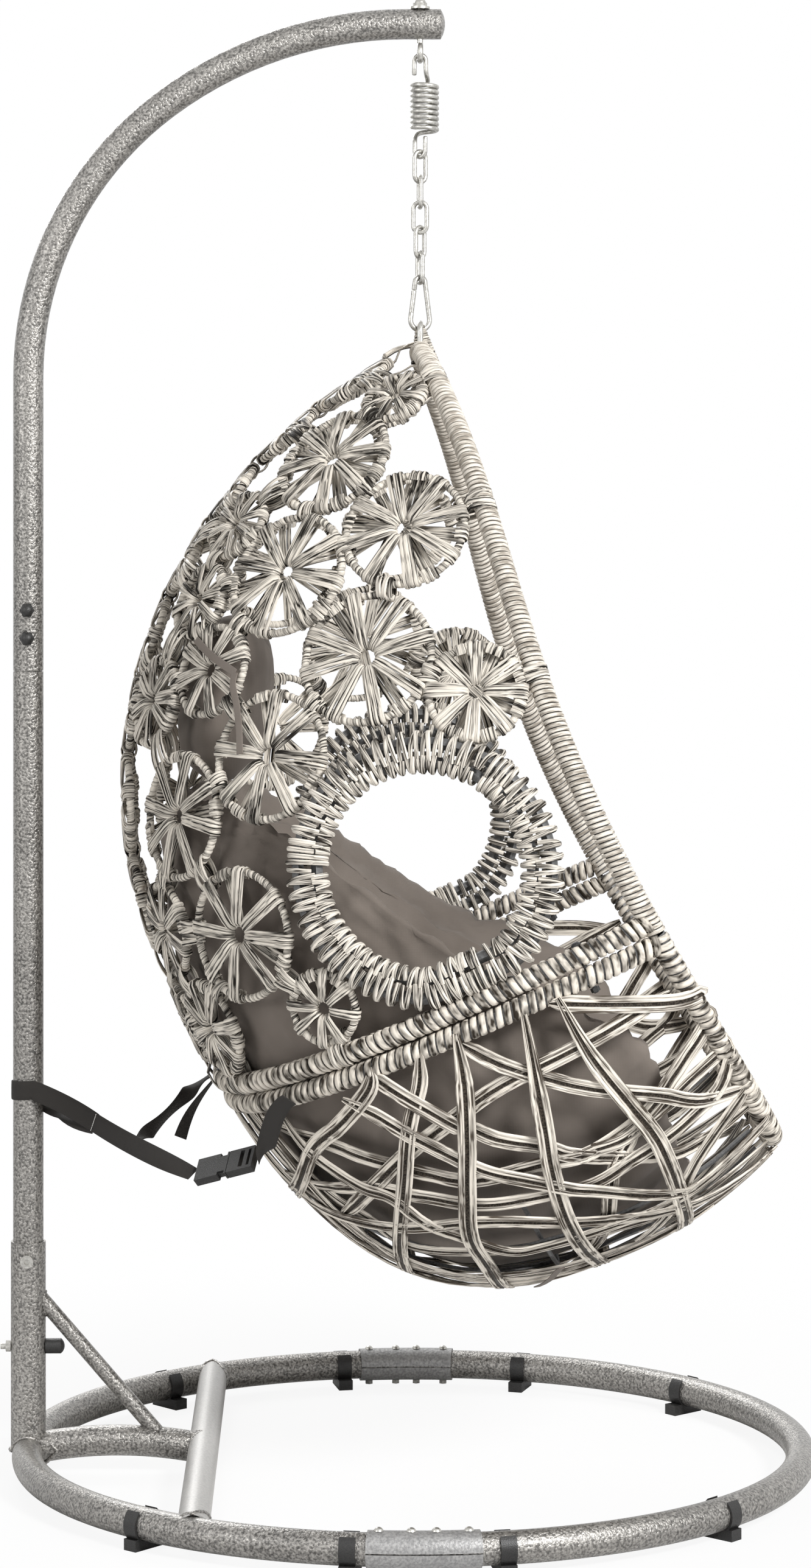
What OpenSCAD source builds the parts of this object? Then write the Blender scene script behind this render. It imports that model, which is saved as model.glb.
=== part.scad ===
// Hanging egg chair: a tube stand with a curved arm, a spring and chain, and a wicker basket with cushions.
// The stand's ring lies on the floor, the post rises at its rear (-X) and the basket opens to the front (+X).

/* [Base ring] */
// Outer diameter of the base ring
ring_outer_d = 1060; // [900:2:1300]
// Outer diameter of the stand's steel tubes
tube_d = 40; // [34:1:42]
// Wall of the stand's steel tubes
tube_wall = 2; // [1.5:0.5:3]
// Height of the clip-on feet under the ring tube
foot_h = 10; // [6:1:20]
// Length of a foot clip along the ring
foot_w = 20; // [14:1:30]
// Length of the two clamps that join the halves of the ring
clamp_len = 135; // [110:5:170]
// Distance from the post's axis forward to the crossbar
crossbar_run = 232; // [180:2:300]
// Rise of the arched tube at its middle
arch_rise = 12; // [6:1:24]

/* [Post and arm] */
// Height of the top of the curved arm above the floor
arm_top_h = 1936; // [1900:5:2350]
// Height of the joint between the lower pole and the curved arm
joint_h = 1059; // [850:5:1180]
// Bend radius of the lower half of the arm
arm_bend_r = 452; // [380:4:520]
// Distance of the hook bolt forward of the ring's centre
hang_offset = 8; // [0:1:40]
// Length of the arm past the hook bolt
arm_end_run = 27; // [22:1:60]
// Height of the socket that holds the pole
socket_h = 276; // [200:4:340]
// Length of the spigot inside the joint
spigot_len = 200; // [170:5:260]
// Height of the strap's loop round the pole
strap_loop_h = 508; // [420:4:600]

/* [Suspension] */
// Wire diameter of the spring
spring_wire = 6.2; // [5:0.1:6.4]
// Outer diameter of the spring's coil
spring_d = 39; // [34:1:46]
// Turns of the spring
spring_turns = 9; // [6:1:12]
// Rise of one turn of the spring
spring_pitch = 7; // [6.9:0.1:9]
// Wire diameter of the chain
chain_wire = 6; // [5:0.2:7]
// Inner length of a chain link
link_inner = 34.5; // [30:0.5:44]
// Outer length of the snap hook
snap_len = 77; // [66:1:95]
// Wire diameter of the snap hook
snap_wire = 7; // [6:0.2:8]

/* [Basket] */
// Height of the basket, square to the seam between its halves
basket_h = 1210; // [1000:5:1460]
// Depth of the basket from its opening to its back
basket_d = 657; // [548:3:789]
// Width of the opening at its widest
opening_w = 860; // [740:5:1000]
// Backward lean of the basket
basket_tilt = 24; // [18:1:30]
// Height of the seam below the top of the basket
seam_drop = 790; // [740:2:860]
// Diameter of the basket's steel tubes
core_d = 22; // [19:1:24]
// Thickness of the wicker wound round a tube
wrap_t = 2.7; // [2:0.1:3.4]
// Outer diameter of the round armholes
armhole_d = 326; // [270:2:340]
// Width of the band round an armhole
armhole_band = 40; // [30:1:48]
// Thickness of a wicker rosette
rosette_t = 8; // [5:0.5:9]

/* [Cushions and strap] */
// Thickness of the seat cushion
cushion_t = 125; // [90:5:150]
// Width of the head pillow
pillow_w = 400; // [320:5:460]
// Height of the head pillow
pillow_h = 250; // [200:5:290]
// Width of the strap's webbing
strap_w = 25; // [20:1:30]

/* [Hidden] */
$fn = 48;
fit = 0.3;
link_gap = 1.1;
weld_gap = 0.1;
through = 200;

// Stand
tube_r = tube_d / 2;
ring_r = (ring_outer_d - tube_d) / 2;
socket_wall = 2.7;
socket_r = tube_r + fit + socket_wall;
cross_bolt_d = 8;
cross_nut_h = 6.5;
cross_stub = 6;
cross_reach = socket_r + cross_nut_h + cross_stub + 1;
ring_x = (cross_reach - tube_r) / 2;
ring_z = foot_h + tube_r;
post_x = ring_x - ring_r;
crossbar_x = post_x + crossbar_run;
crossbar_z = ring_z + 4;
arch_chord = crossbar_run;
arch_r = (pow(arch_chord / 2, 2) + pow(arch_rise, 2)) / (2 * arch_rise);
clamp_t = 2.5;
clamp_angle = clamp_len / ring_r * 180 / PI;
clamp_bolt_d = 6;
clamp_bolt_steps = [-54, -15, 15, 54];
half_gap_angle = 0.5 / ring_r * 180 / PI;
near_feet = [-42, -10, 11, 47];
far_feet = [-42, -10.5, 19, 50];
brace_d = 20;
brace_top_z = ring_z + 220;
brace_foot_x = post_x + 172;
brace_foot_z = ring_z + 20;
cross_bolt_z = ring_z + 137;
set_screw_z = ring_z + 253;
pole_bottom_z = ring_z + tube_r + 1;
socket_top_z = ring_z + socket_h;

// Arm
arm_z = arm_top_h - tube_r;
hang_x = ring_x + hang_offset;
arm_flat_run = 18;
arm_upper_r = round(10 * (hang_x - arm_flat_run - post_x - 0.4 * arm_bend_r) / 0.6) / 10;
arm_straight_top = arm_z - 0.8 * arm_bend_r - 0.2 * arm_upper_r;
joint_bolt_zs = [joint_h + 44, joint_h + 81];
joint_bolt_d = 8;
cap_plug_len = 12;
cap_dome = 6;

// Hook bolt, spring and chain, from the top down
hook_wire = 8;
eye_r = 10;
eye_z = arm_z - tube_r - 18;
eye_seat_z = eye_z - eye_r;
washer_t = 3;
washer_d = 26;
cap_nut_h = 12;
spring_r = spring_wire / 2;
spring_hook_r = 7.6;
coil_shift = 6;
coil_r = (spring_d - spring_wire) / 2;
hook_end = 18;
upper_lead = 30.2;
lower_lead = 26.8;
spring_top_z = eye_seat_z + (hook_wire + spring_wire) / 2 + fit;
coil_top_z = spring_top_z - spring_hook_r - upper_lead;
coil_bottom_z = coil_top_z - spring_turns * spring_pitch;
spring_bottom_z = coil_bottom_z - spring_hook_r - lower_lead;
bottom_hook_yaw = -28;
link_outer_w = 24;
link_r = (link_outer_w - chain_wire) / 2;
link_step = link_inner - link_gap;
link_yaws = [35, 98, -10, 50, 110];
link_centres = [for (i = [0:4])
    spring_bottom_z + (spring_wire + chain_wire) / 2 + link_gap - (link_inner + chain_wire) / 2 - i * link_step];
side_pivot_z = link_centres[2] - (link_inner + chain_wire) / 2;
chain_end_z = link_centres[4] - (link_inner + chain_wire) / 2;
snap_yaw = 20;
snap_top_r = 7;
snap_foot_r = 13.5;
snap_span = snap_len - snap_top_r - snap_foot_r - snap_wire;
snap_top_z = chain_end_z + (chain_wire + snap_wire) / 2 + link_gap - snap_top_r;
snap_foot_z = snap_top_z - snap_span;
snap_lean = asin((snap_foot_r - snap_top_r) / snap_span);
gate_gap = 0.8;
bail_wire = 8;
bail_r = 12;
bail_leg = 12;
bail_z = snap_foot_z - snap_foot_r + (snap_wire + bail_wire) / 2 + link_gap;

// Basket, in its own frame: x forward, z up, the top of the opening at the origin
wrap_r = core_d / 2 + wrap_t;
core_wall = 1.5;
apex = [hang_x + wrap_r * (cos(basket_tilt) - sin(basket_tilt)), 0,
    bail_z - bail_r - bail_leg - wrap_r + wrap_r * (cos(basket_tilt) + sin(basket_tilt))];
mid_h = basket_h / 2;
egg_taper = 0.25;
egg_peak = max([for (t = [88:1:120]) sin(t) * (1 - egg_taper * cos(t))]);
rim_half_w = opening_w / 2 / egg_peak;
lip_angle = 24;
lowest_d = 0.33 * basket_d;
lip_run = lowest_d / sin(lip_angle);
opening_bow = 53;
boxiness = 0.7;
egg_middle = [-0.42 * basket_d, 0, -0.6 * basket_h];
seam_angle = acos((mid_h - seam_drop) / (mid_h * cos(lip_angle)));
frame_steps = 16;
hoop_steps = 13;
upper_hoop_z = -seam_drop + wrap_r + fit;
lower_hoop_z = -seam_drop - wrap_r - fit;
tube_sides = 8;
seam_bolt_d = 6;
armhole_x = -283;
armhole_z = -607;
armhole_t = 24;
armhole_steps = 36;
rosette_rim = 8;
rosette_hub = 14;
rosette_petals = 9;
petal_w = 15;
// Lowest height of a piece that stands on the upper hoop
on_seam = -seam_drop + 2 * wrap_r + fit + 2;
// Rosettes on each side: forward place, height and radius
side_rosettes = [
    [-133, -212, 82], [-295, -203, 86], [-243, -340, 88], [-180, -93, 80], [-72, -50, 44],
    [-329, -119, 50], [-414, -190, 52], [-434, -277, 62], [-522, -286, 60], [-136, -432, 63],
    [-407, -403, 84], [-547, -431, 82], [-532, -593, 84],
    [-469, on_seam + 48, 48], [-618, on_seam + 64, 64]];
// Rosettes over the back: degrees round the opening from its top, share of the way from the rim
// to the rear point, and radius
back_rosettes = [
    [0, 0.108, 58], [0, 0.218, 52], [0, 0.325, 50], [0, 0.431, 52], [0, 0.541, 54], [0, 0.652, 51],
    [0, 0.775, 66], [0, 0.915, 68], [80, 0.78, 62], [-80, 0.78, 62], [180, 0.968, 54], [120, 0.89, 52],
    [-120, 0.89, 52]];
rib_d = 6;
rib_in = 14;
rib_angles = [150, 180, 210];
cross_rib_places = [0.3, 0.62];
weave_t = 4;
weave_steps = 13;
cushion_in = 34;
cushion_steps = 32;
cushion_rings = 12;
cushion_lobes = 8;
pillow_middle = [-0.66 * basket_d, 0, -0.27 * basket_h];
pillow_t = 110;
pillow_lean = 28;

// Strap
loop_t = 2;
web_t = 1.6;
strap_anchor_angle = 27;
buckle_len = 84;
buckle_w = 36;
buckle_t = 11;

// ---- Shared shapes ----

function unit(v) = v / norm(v);
function square_to(v, t) = unit(v - (v * t) * t);
function turned(p, a) = [p.x * cos(a) - p.y * sin(a), p.x * sin(a) + p.y * cos(a), p.z];
function mixed(a, b, k) = a * (1 - k) + b * k;
function bezier(a, b, c, d, k) =
    mixed(mixed(mixed(a, b, k), mixed(b, c, k), k), mixed(mixed(b, c, k), mixed(c, d, k), k), k);

// Direction of an open path at each of its points
function path_ways(path) = [for (i = [0:len(path) - 1])
    unit(path[min(i + 1, len(path) - 1)] - path[max(i - 1, 0)])];

// A first direction carried along the path without twist
function carried(ways, first) = [for (i = 0, n = square_to(first, ways[0]); i < len(ways);
    i = i + 1, n = i < len(ways) ? square_to(n, ways[i]) : n) n];

// Closed rings of points round a path
function rings_on(path, ways, outs, r_out, r_across, sides) = [for (i = [0:len(path) - 1])
    [for (k = [0:sides - 1]) path[i]
        + outs[i] * r_out * cos(k * 360 / sides)
        + cross(ways[i], outs[i]) * r_across * sin(k * 360 / sides)]];

function flat(rings) = [for (ring = rings) for (p = ring) p];

// Triangles of the wall between rings first and last, of sides points each
function wall_faces(first, last, sides, start = 0) = [for (i = [first:last - 1]) for (k = [0:sides - 1])
    for (half = [0, 1]) let (
        a = start + i * sides + k,
        b = start + i * sides + (k + 1) % sides,
        c = a + sides,
        d = b + sides)
    half == 0 ? [a, c, b] : [b, c, d]];

function flipped(faces) = [for (f = faces) [f[2], f[1], f[0]]];

// Solid rod along an open path
module rod_along(path, r, sides = tube_sides, first = [0, 0, 1]) {
    ways = path_ways(path);
    rings = rings_on(path, ways, carried(ways, first), r, r, sides);
    last = (len(path) - 1) * sides;
    cap = [for (k = [1:sides - 2]) [0, k, k + 1]];
    far_cap = [for (k = [1:sides - 2]) [last, last + k + 1, last + k]];
    polyhedron(flat(rings), concat(cap, far_cap, wall_faces(0, len(path) - 1, sides)));
}

// Hollow tube along an open path
module sleeve_along(path, r_out, r_in, sides = tube_sides, first = [0, 0, 1]) {
    ways = path_ways(path);
    outs = carried(ways, first);
    outer = flat(rings_on(path, ways, outs, r_out, r_out, sides));
    inner = flat(rings_on(path, ways, outs, r_in, r_in, sides));
    n = len(outer);
    last = n - sides;
    ends = [for (k = [0:sides - 1]) let (m = (k + 1) % sides) for (f = [
        [k, m, n + k], [m, n + m, n + k],
        [last + m, last + k, n + last + k], [last + m, n + last + k, n + last + m]]) f];
    polyhedron(concat(outer, inner), concat(ends, wall_faces(0, len(path) - 1, sides),
        flipped(wall_faces(0, len(path) - 1, sides, n))));
}

// Flat webbing along a path, its width turned to lie along the given directions
module webbing_along(path, sides_ways, w, t) {
    ways = path_ways(path);
    rings = [for (i = [0:len(path) - 1]) let (
        across = square_to(sides_ways[i], ways[i]),
        up = cross(ways[i], across))
        [for (c = [[-1, -1], [1, -1], [1, 1], [-1, 1]]) path[i] + across * c.x * w / 2 + up * c.y * t / 2]];
    last = (len(path) - 1) * 4;
    polyhedron(flat(rings), concat([[0, 1, 2], [0, 2, 3]],
        [[last, last + 2, last + 1], [last, last + 3, last + 2]], wall_faces(0, len(path) - 1, 4)));
}

module pipe(len, r_out, r_in) {
    difference() {
        cylinder(h = len, r = r_out);
        translate([0, 0, -1]) cylinder(h = len + 2, r = r_in);
    }
}

// Hexagon prism with a bore
module hex_nut(flats, h, bore) {
    difference() {
        cylinder(h = h, r = flats / sqrt(3), $fn = 6);
        translate([0, 0, -1]) cylinder(h = h + 2, d = bore);
    }
}

// Part of a sphere standing on z = 0
module dome(base_r, h) {
    ball_r = (base_r * base_r + h * h) / (2 * h);
    intersection() {
        translate([0, 0, h - ball_r]) sphere(r = ball_r);
        cylinder(h = h + 1, r = base_r);
    }
}

// Domed cap nut with a blind bore, standing on z = 0
module cap_nut(d, h, bore, bore_depth) {
    difference() {
        union() {
            cylinder(h = h * 0.45, r = d / sqrt(3), $fn = 6);
            translate([0, 0, h * 0.45]) dome(d / 2, h * 0.55);
        }
        translate([0, 0, -1]) cylinder(h = bore_depth + 1, d = bore);
    }
}

// Pan-head bolt: the head's underside at z = 0, the shank down
module pan_bolt(d, len, head_d, head_h) {
    dome(head_d / 2, head_h);
    translate([0, 0, -len]) cylinder(h = len, d = d);
}

// ---- Base ring ----

module ring_section(r) {
    translate([ring_r, 0]) circle(r = r);
}

// Solid that the outside of the ring tube takes up, used to shape what is welded to it
module ring_space(extra = 0) {
    translate([ring_x, 0, ring_z]) rotate_extrude($fn = 240) ring_section(tube_r + extra);
}

// Places a child at an angle from the near or far end of the ring, angles opening to the front
module on_ring(angle, far) {
    translate([ring_x, 0, ring_z]) rotate([0, 0, far ? 90 - angle : angle - 90])
        translate([ring_r, 0, 0]) children();
}

module clamp_bolt_holes(d) {
    for (far = [false, true]) for (step = clamp_bolt_steps)
        on_ring(step / ring_r * 180 / PI, far) cylinder(h = through, d = d, center = true);
}

module half_ring(turn) {
    color("silver") difference() {
        translate([ring_x, 0, ring_z]) rotate([0, 0, turn + half_gap_angle])
            rotate_extrude(angle = 180 - 2 * half_gap_angle) difference() {
                ring_section(tube_r);
                ring_section(tube_r - tube_wall);
            }
        clamp_bolt_holes(clamp_bolt_d + 0.6);
    }
}

module base_ring_rear() { half_ring(90); }
module base_ring_front() { half_ring(-90); }

module clamp_half(far, upper) {
    color("silver") difference() {
        on_ring(0, far) translate([-ring_r, 0, 0]) rotate([0, 0, -clamp_angle / 2])
            rotate_extrude(angle = clamp_angle) intersection() {
                difference() {
                    ring_section(tube_r + fit + clamp_t);
                    ring_section(tube_r + fit);
                }
                translate([0, upper ? 1 : -1 - tube_d]) square([2 * ring_r, tube_d]);
            }
        clamp_bolt_holes(clamp_bolt_d + 0.6);
    }
}

module clamp_near_upper() { clamp_half(false, true); }
module clamp_near_lower() { clamp_half(false, false); }
module clamp_far_upper() { clamp_half(true, true); }
module clamp_far_lower() { clamp_half(true, false); }

clamp_bolt_head_z = tube_r + fit + clamp_t;
clamp_nut_h = 5;

module clamp_bolts() {
    color("dimgray") for (far = [false, true]) for (step = clamp_bolt_steps)
        on_ring(step / ring_r * 180 / PI, far) translate([0, 0, clamp_bolt_head_z])
            pan_bolt(clamp_bolt_d, 2 * clamp_bolt_head_z + clamp_nut_h + 0.5, 12, 4.5);
}

module clamp_nuts() {
    color("dimgray") for (far = [false, true]) for (step = clamp_bolt_steps)
        on_ring(step / ring_r * 180 / PI, far) translate([0, 0, -clamp_bolt_head_z - clamp_nut_h])
            hex_nut(10, clamp_nut_h, clamp_bolt_d + 0.2);
}

// Plastic clip open at the top, with a block that stands on the floor
module foot() {
    clip_r = tube_r + fit + 3;
    mouth = 2 * clip_r * sin(40);
    rotate([90, 0, 0]) difference() {
        union() {
            cylinder(h = foot_w, r = clip_r, center = true);
            translate([-30, -ring_z, -foot_w / 2]) cube([52, ring_z - tube_r + 4, foot_w]);
        }
        cylinder(h = foot_w + 2, r = tube_r + fit, center = true);
        translate([-mouth / 2, 0, -foot_w]) cube([mouth, 2 * clip_r, 2 * foot_w]);
    }
}

module ring_feet() {
    color("#2b2b2b") {
        for (angle = near_feet) on_ring(angle, false) foot();
        for (angle = far_feet) on_ring(angle, true) foot();
    }
}

// ---- Post, brace and crossbar ----

module socket_space(extra = 0) {
    translate([post_x, 0, ring_z]) cylinder(h = socket_h, r = socket_r + extra);
}

module cross_bolt_hole() {
    translate([post_x, 0, cross_bolt_z]) rotate([0, 90, 0])
        cylinder(h = through, d = cross_bolt_d + 0.5, center = true);
}

module post_socket() {
    color("silver") difference() {
        translate([post_x, 0, ring_z]) pipe(socket_h, socket_r, tube_r + fit);
        ring_space(weld_gap);
        cross_bolt_hole();
        translate([post_x, 0, set_screw_z]) rotate([90, 0, 0]) cylinder(h = through, d = cross_bolt_d + 0.2);
    }
}

// Arc in the upright plane through the post, from the ring to the crossbar
module arch_arc(r) {
    sweep_angle = 2 * asin(arch_chord / 2 / arch_r);
    translate([post_x + arch_chord / 2, 0, ring_z + arch_rise - arch_r]) rotate([90, 0, 0])
        rotate([0, 0, 90 - sweep_angle / 2]) rotate_extrude(angle = sweep_angle, $fn = 360)
            translate([arch_r, 0]) circle(r = r, $fn = 48);
}

module crossbar_space(extra = 0) {
    half = sqrt(ring_r * ring_r - pow(crossbar_x - ring_x, 2));
    translate([crossbar_x, half, crossbar_z]) rotate([90, 0, 0]) cylinder(h = 2 * half, r = tube_r + extra);
}

module arch_tube() {
    color("silver") difference() {
        arch_arc(tube_r);
        arch_arc(tube_r - tube_wall);
        ring_space(weld_gap);
        socket_space(weld_gap);
        crossbar_space(weld_gap);
    }
}

module crossbar() {
    color("silver") difference() {
        crossbar_space();
        crossbar_space(-tube_wall);
        ring_space(weld_gap);
    }
}

module brace() {
    run = brace_foot_x - post_x;
    drop = brace_top_z - brace_foot_z;
    color("silver") difference() {
        translate([post_x, 0, brace_top_z]) rotate([0, 180 - atan2(run, drop), 0])
            pipe(norm([run, drop]), brace_d / 2, brace_d / 2 - 1.5);
        socket_space(weld_gap);
        arch_arc(tube_r + weld_gap);
    }
}

module lower_pole() {
    color("silver") difference() {
        translate([post_x, 0, pole_bottom_z]) pipe(joint_h - pole_bottom_z, tube_r, tube_r - tube_wall);
        cross_bolt_hole();
    }
}

module joint_bolt_holes() {
    for (z = joint_bolt_zs) translate([post_x, 0, z]) rotate([90, 0, 0])
        cylinder(h = through, d = joint_bolt_d + 0.5, center = true);
}

module joint_spigot() {
    color("silver") difference() {
        translate([post_x, 0, joint_h - spigot_len / 2])
            pipe(spigot_len, tube_r - tube_wall - fit, tube_r - 2 * tube_wall - fit);
        joint_bolt_holes();
    }
}

// One bend of the arm: the part of a quarter ring that lies in the wedge
module arm_bend(bend_r, r, wedge) {
    rotate([90, 0, 0]) intersection() {
        rotate([0, 0, 90]) rotate_extrude(angle = 90, $fn = 360)
            translate([bend_r, 0]) circle(r = r, $fn = 48);
        translate([0, 0, -tube_d]) linear_extrude(2 * tube_d) polygon(wedge);
    }
}

// Outline of the arm: upright, two bends that meet on a 3-4-5 line, and a level end
module arm_run(r) {
    upper_x = post_x + 0.4 * arm_bend_r + 0.6 * arm_upper_r;
    translate([post_x, 0, joint_h + 1]) cylinder(h = arm_straight_top - joint_h - 1, r = r);
    translate([post_x + arm_bend_r, 0, arm_straight_top])
        arm_bend(arm_bend_r, r, [[0, 0], [-900, 1200], [-1500, 1200], [-1500, -100], [0, -100]]);
    translate([upper_x, 0, arm_z - arm_upper_r])
        arm_bend(arm_upper_r, r, [[0, 0], [-900, 1200], [-900, 1500], [100, 1500], [100, 0]]);
    translate([upper_x, 0, arm_z]) rotate([0, 90, 0]) cylinder(h = hang_x + arm_end_run - upper_x, r = r);
}

module curved_arm() {
    color("silver") difference() {
        arm_run(tube_r);
        arm_run(tube_r - tube_wall);
        joint_bolt_holes();
        translate([post_x, 0, joint_h]) cylinder(h = 2, r = tube_r - tube_wall);
        translate([hang_x + arm_end_run - 1, 0, arm_z]) rotate([0, 90, 0])
            cylinder(h = 2, r = tube_r - tube_wall);
        translate([hang_x, 0, arm_z]) cylinder(h = through, d = hook_wire + 0.6, center = true);
    }
}

module arm_end_cap() {
    color("silver") translate([hang_x + arm_end_run, 0, arm_z]) rotate([0, 90, 0]) {
        translate([0, 0, -cap_plug_len]) cylinder(h = cap_plug_len + 0.1, r = tube_r - tube_wall - fit);
        translate([0, 0, 0.1]) dome(tube_r, cap_dome);
    }
}

module joint_bolts() {
    color("#2b2b2b") for (z = joint_bolt_zs)
        translate([post_x, tube_r, z]) rotate([-90, 0, 0]) pan_bolt(joint_bolt_d, tube_d + 8, 16, 5);
}

module joint_cap_nuts() {
    color("#2b2b2b") for (z = joint_bolt_zs)
        translate([post_x, -tube_r, z]) rotate([90, 0, 0]) cap_nut(17, 13, joint_bolt_d + 0.2, 9);
}

module set_screw() {
    color("gainsboro") translate([post_x, -tube_r - fit, set_screw_z]) rotate([90, 0, 0]) {
        cylinder(h = socket_wall + 0.2, d = cross_bolt_d);
        translate([0, 0, socket_wall + 0.1]) difference() {
            cylinder(h = 5, d = 17);
            translate([0, 0, 2]) cylinder(h = 4, d = 8, $fn = 6);
        }
    }
}

module cross_bolt() {
    color("gainsboro") translate([post_x, 0, cross_bolt_z]) rotate([0, 90, 0]) {
        translate([0, 0, -cross_reach]) cylinder(h = cross_reach + socket_r + 14, d = cross_bolt_d);
        translate([0, 0, socket_r]) cylinder(h = 7, r = 13 / sqrt(3), $fn = 6);
    }
}

module cross_bolt_cap() {
    color("#2b2b2b") translate([post_x + socket_r, 0, cross_bolt_z]) rotate([0, 90, 0]) difference() {
        union() {
            cylinder(h = 20, r = 10);
            translate([0, 0, 20]) dome(10, 5);
        }
        translate([0, 0, -1]) cylinder(h = 8 + fit, r = 13 / sqrt(3) + fit);
        translate([0, 0, -1]) cylinder(h = 15 + fit, d = cross_bolt_d + fit);
    }
}

module cross_nut() {
    color("gainsboro") translate([post_x - socket_r - cross_nut_h, 0, cross_bolt_z]) rotate([0, 90, 0])
        hex_nut(13, cross_nut_h, cross_bolt_d + 0.2);
}

// ---- Hook bolt, spring, chain and snap hook ----

module hook_bolt() {
    color("gainsboro") translate([hang_x, 0, 0]) {
        translate([0, 0, eye_z + eye_r]) cylinder(h = arm_top_h + washer_t + 8 - eye_z - eye_r, d = hook_wire);
        translate([0, 0, eye_z]) rotate([90, 0, 90]) rotate([0, 0, 90])
            rotate_extrude(angle = 300) translate([eye_r, 0]) circle(d = hook_wire);
    }
}

module hook_washer() {
    color("gainsboro") translate([hang_x, 0, arm_top_h]) pipe(washer_t, washer_d / 2, hook_wire / 2 + 0.3);
}

module hook_cap_nut() {
    color("gainsboro") translate([hang_x, 0, arm_top_h + washer_t])
        cap_nut(16, cap_nut_h, hook_wire + 0.2, 9);
}

// Upright hook bent from the spring's wire: from its free end round to the side that joins the coil
spring_hook = concat(
    [[-spring_hook_r, 0, -hook_end]],
    [for (a = [180:-30:0]) spring_hook_r * [cos(a), 0, sin(a)]],
    [[spring_hook_r, 0, -0.35 * lower_lead]]);

function spring_lead(a, drop, d, swing) = [for (k = [0.2:0.2:0.8])
    bezier(a, a - [0, 0, 0.5 * drop], d + [swing, 0, 0.12 * drop], d, k)];

spring_upper = [for (p = spring_hook) p + [0, 0, spring_top_z - spring_hook_r]];
spring_lower = [for (i = [len(spring_hook) - 1:-1:0]) let (p = spring_hook[i])
    turned([-p.x, 0, -p.z], bottom_hook_yaw) + [0, 0, spring_bottom_z + spring_hook_r]];
spring_helix = [for (i = [0:spring_turns * 8]) let (a = 90 + i * 45)
    [coil_shift + coil_r * cos(a), coil_r * sin(a), coil_top_z - i * spring_pitch / 8]];
spring_path = concat(
    spring_upper,
    spring_lead(spring_upper[len(spring_upper) - 1], upper_lead, spring_helix[0], 9),
    spring_helix,
    [for (k = [0.25, 0.5, 0.75]) let (e = spring_helix[len(spring_helix) - 1], a = spring_lower[0])
        bezier(e, e - [13, 0, 2], a + [0, 3, 0.4 * lower_lead], a, k)],
    spring_lower);

// Least distance between the wire's surfaces where the spring passes itself
function least_gap(path, d, skip) = min([for (i = [0:len(path) - skip - 1])
    for (j = [i + skip:len(path) - 1]) norm(path[i] - path[j])]) - d;
echo("least gap of the spring to itself", least_gap(spring_path, spring_wire, 5));

module coil_spring() {
    color("gainsboro") translate([hang_x, 0, 0]) rod_along(spring_path, spring_r, 6, [0, 1, 0]);
}

module chain_link(i) {
    straight = link_inner + chain_wire - 2 * link_r;
    color("gainsboro") translate([hang_x, 0, link_centres[i]]) rotate([0, 0, link_yaws[i]])
        rotate([90, 0, 0]) for (end = [0, 180]) rotate([0, 0, end]) {
            translate([0, straight / 2, 0]) rotate_extrude(angle = 180)
                translate([link_r, 0]) circle(d = chain_wire);
            translate([link_r, -straight / 2, 0]) rotate([-90, 0, 0]) cylinder(h = straight, d = chain_wire);
        }
}

module chain_link_1() { chain_link(0); }
module chain_link_2() { chain_link(1); }
module chain_link_3() { chain_link(2); }
module chain_link_4() { chain_link(3); }
module chain_link_5() { chain_link(4); }

snap_side_len = snap_span * cos(snap_lean);
gate_pin_at = snap_side_len * 0.7;
gate_foot_at = snap_side_len * 0.16;
gate_top_at = gate_pin_at + 2.3;
snap_tip_at = gate_pin_at + 4.6;
gate_d = snap_wire - 0.6;
tang_t = 2.2;

// Frame of the snap hook: x across, y up, origin at the middle of its foot's bend
module on_snap() {
    translate([hang_x, 0, snap_foot_z]) rotate([0, 0, snap_yaw]) rotate([90, 0, 0]) children();
}

// Frame of the snap hook's gate side: y runs up the side from the end of the foot's bend
module on_gate_side(at = 0) {
    on_snap() rotate([0, 0, -snap_lean]) translate([-snap_foot_r, at, 0]) children();
}

function gate_side(at) = [-snap_foot_r * cos(snap_lean) + at * sin(snap_lean),
    snap_foot_r * sin(snap_lean) + at * cos(snap_lean), 0];

module snap_hook() {
    foot_turn = 180 + 2 * snap_lean;
    top_turn = 180 - 2 * snap_lean;
    path = concat(
        [gate_side(gate_foot_at - gate_gap)],
        [for (i = [0:13]) let (a = 180 - snap_lean + foot_turn * i / 13)
            snap_foot_r * [cos(a), sin(a), 0]],
        [for (i = [0:10]) let (a = snap_lean + top_turn * i / 10)
            [0, snap_span, 0] + snap_top_r * [cos(a), sin(a), 0]],
        [gate_side(snap_tip_at)]);
    color("gainsboro") difference() {
        union() {
            on_snap() rod_along(path, snap_wire / 2, 10);
            on_gate_side(gate_pin_at) {
                cylinder(h = tang_t, r = 2.6, center = true);
                translate([-2.6, 0, -tang_t / 2]) cube([5.2, snap_tip_at - gate_pin_at + 1, tang_t]);
            }
        }
        on_gate_side(gate_pin_at) cylinder(h = through, d = 2.2, center = true);
    }
}

module snap_gate() {
    color("gainsboro") difference() {
        on_gate_side(gate_foot_at) rotate([-90, 0, 0]) cylinder(h = gate_top_at - gate_foot_at, d = gate_d);
        on_gate_side(gate_pin_at) {
            cylinder(h = through, d = 2.2, center = true);
            translate([-snap_wire, -3.4, -tang_t / 2 - 0.3]) cube([2 * snap_wire, 10, tang_t + 0.6]);
        }
    }
}

module gate_pin() {
    color("gainsboro") on_gate_side(gate_pin_at) cylinder(h = gate_d, d = 2, center = true);
}

module on_basket() {
    translate(apex) rotate([0, -basket_tilt, 0]) children();
}

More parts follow.
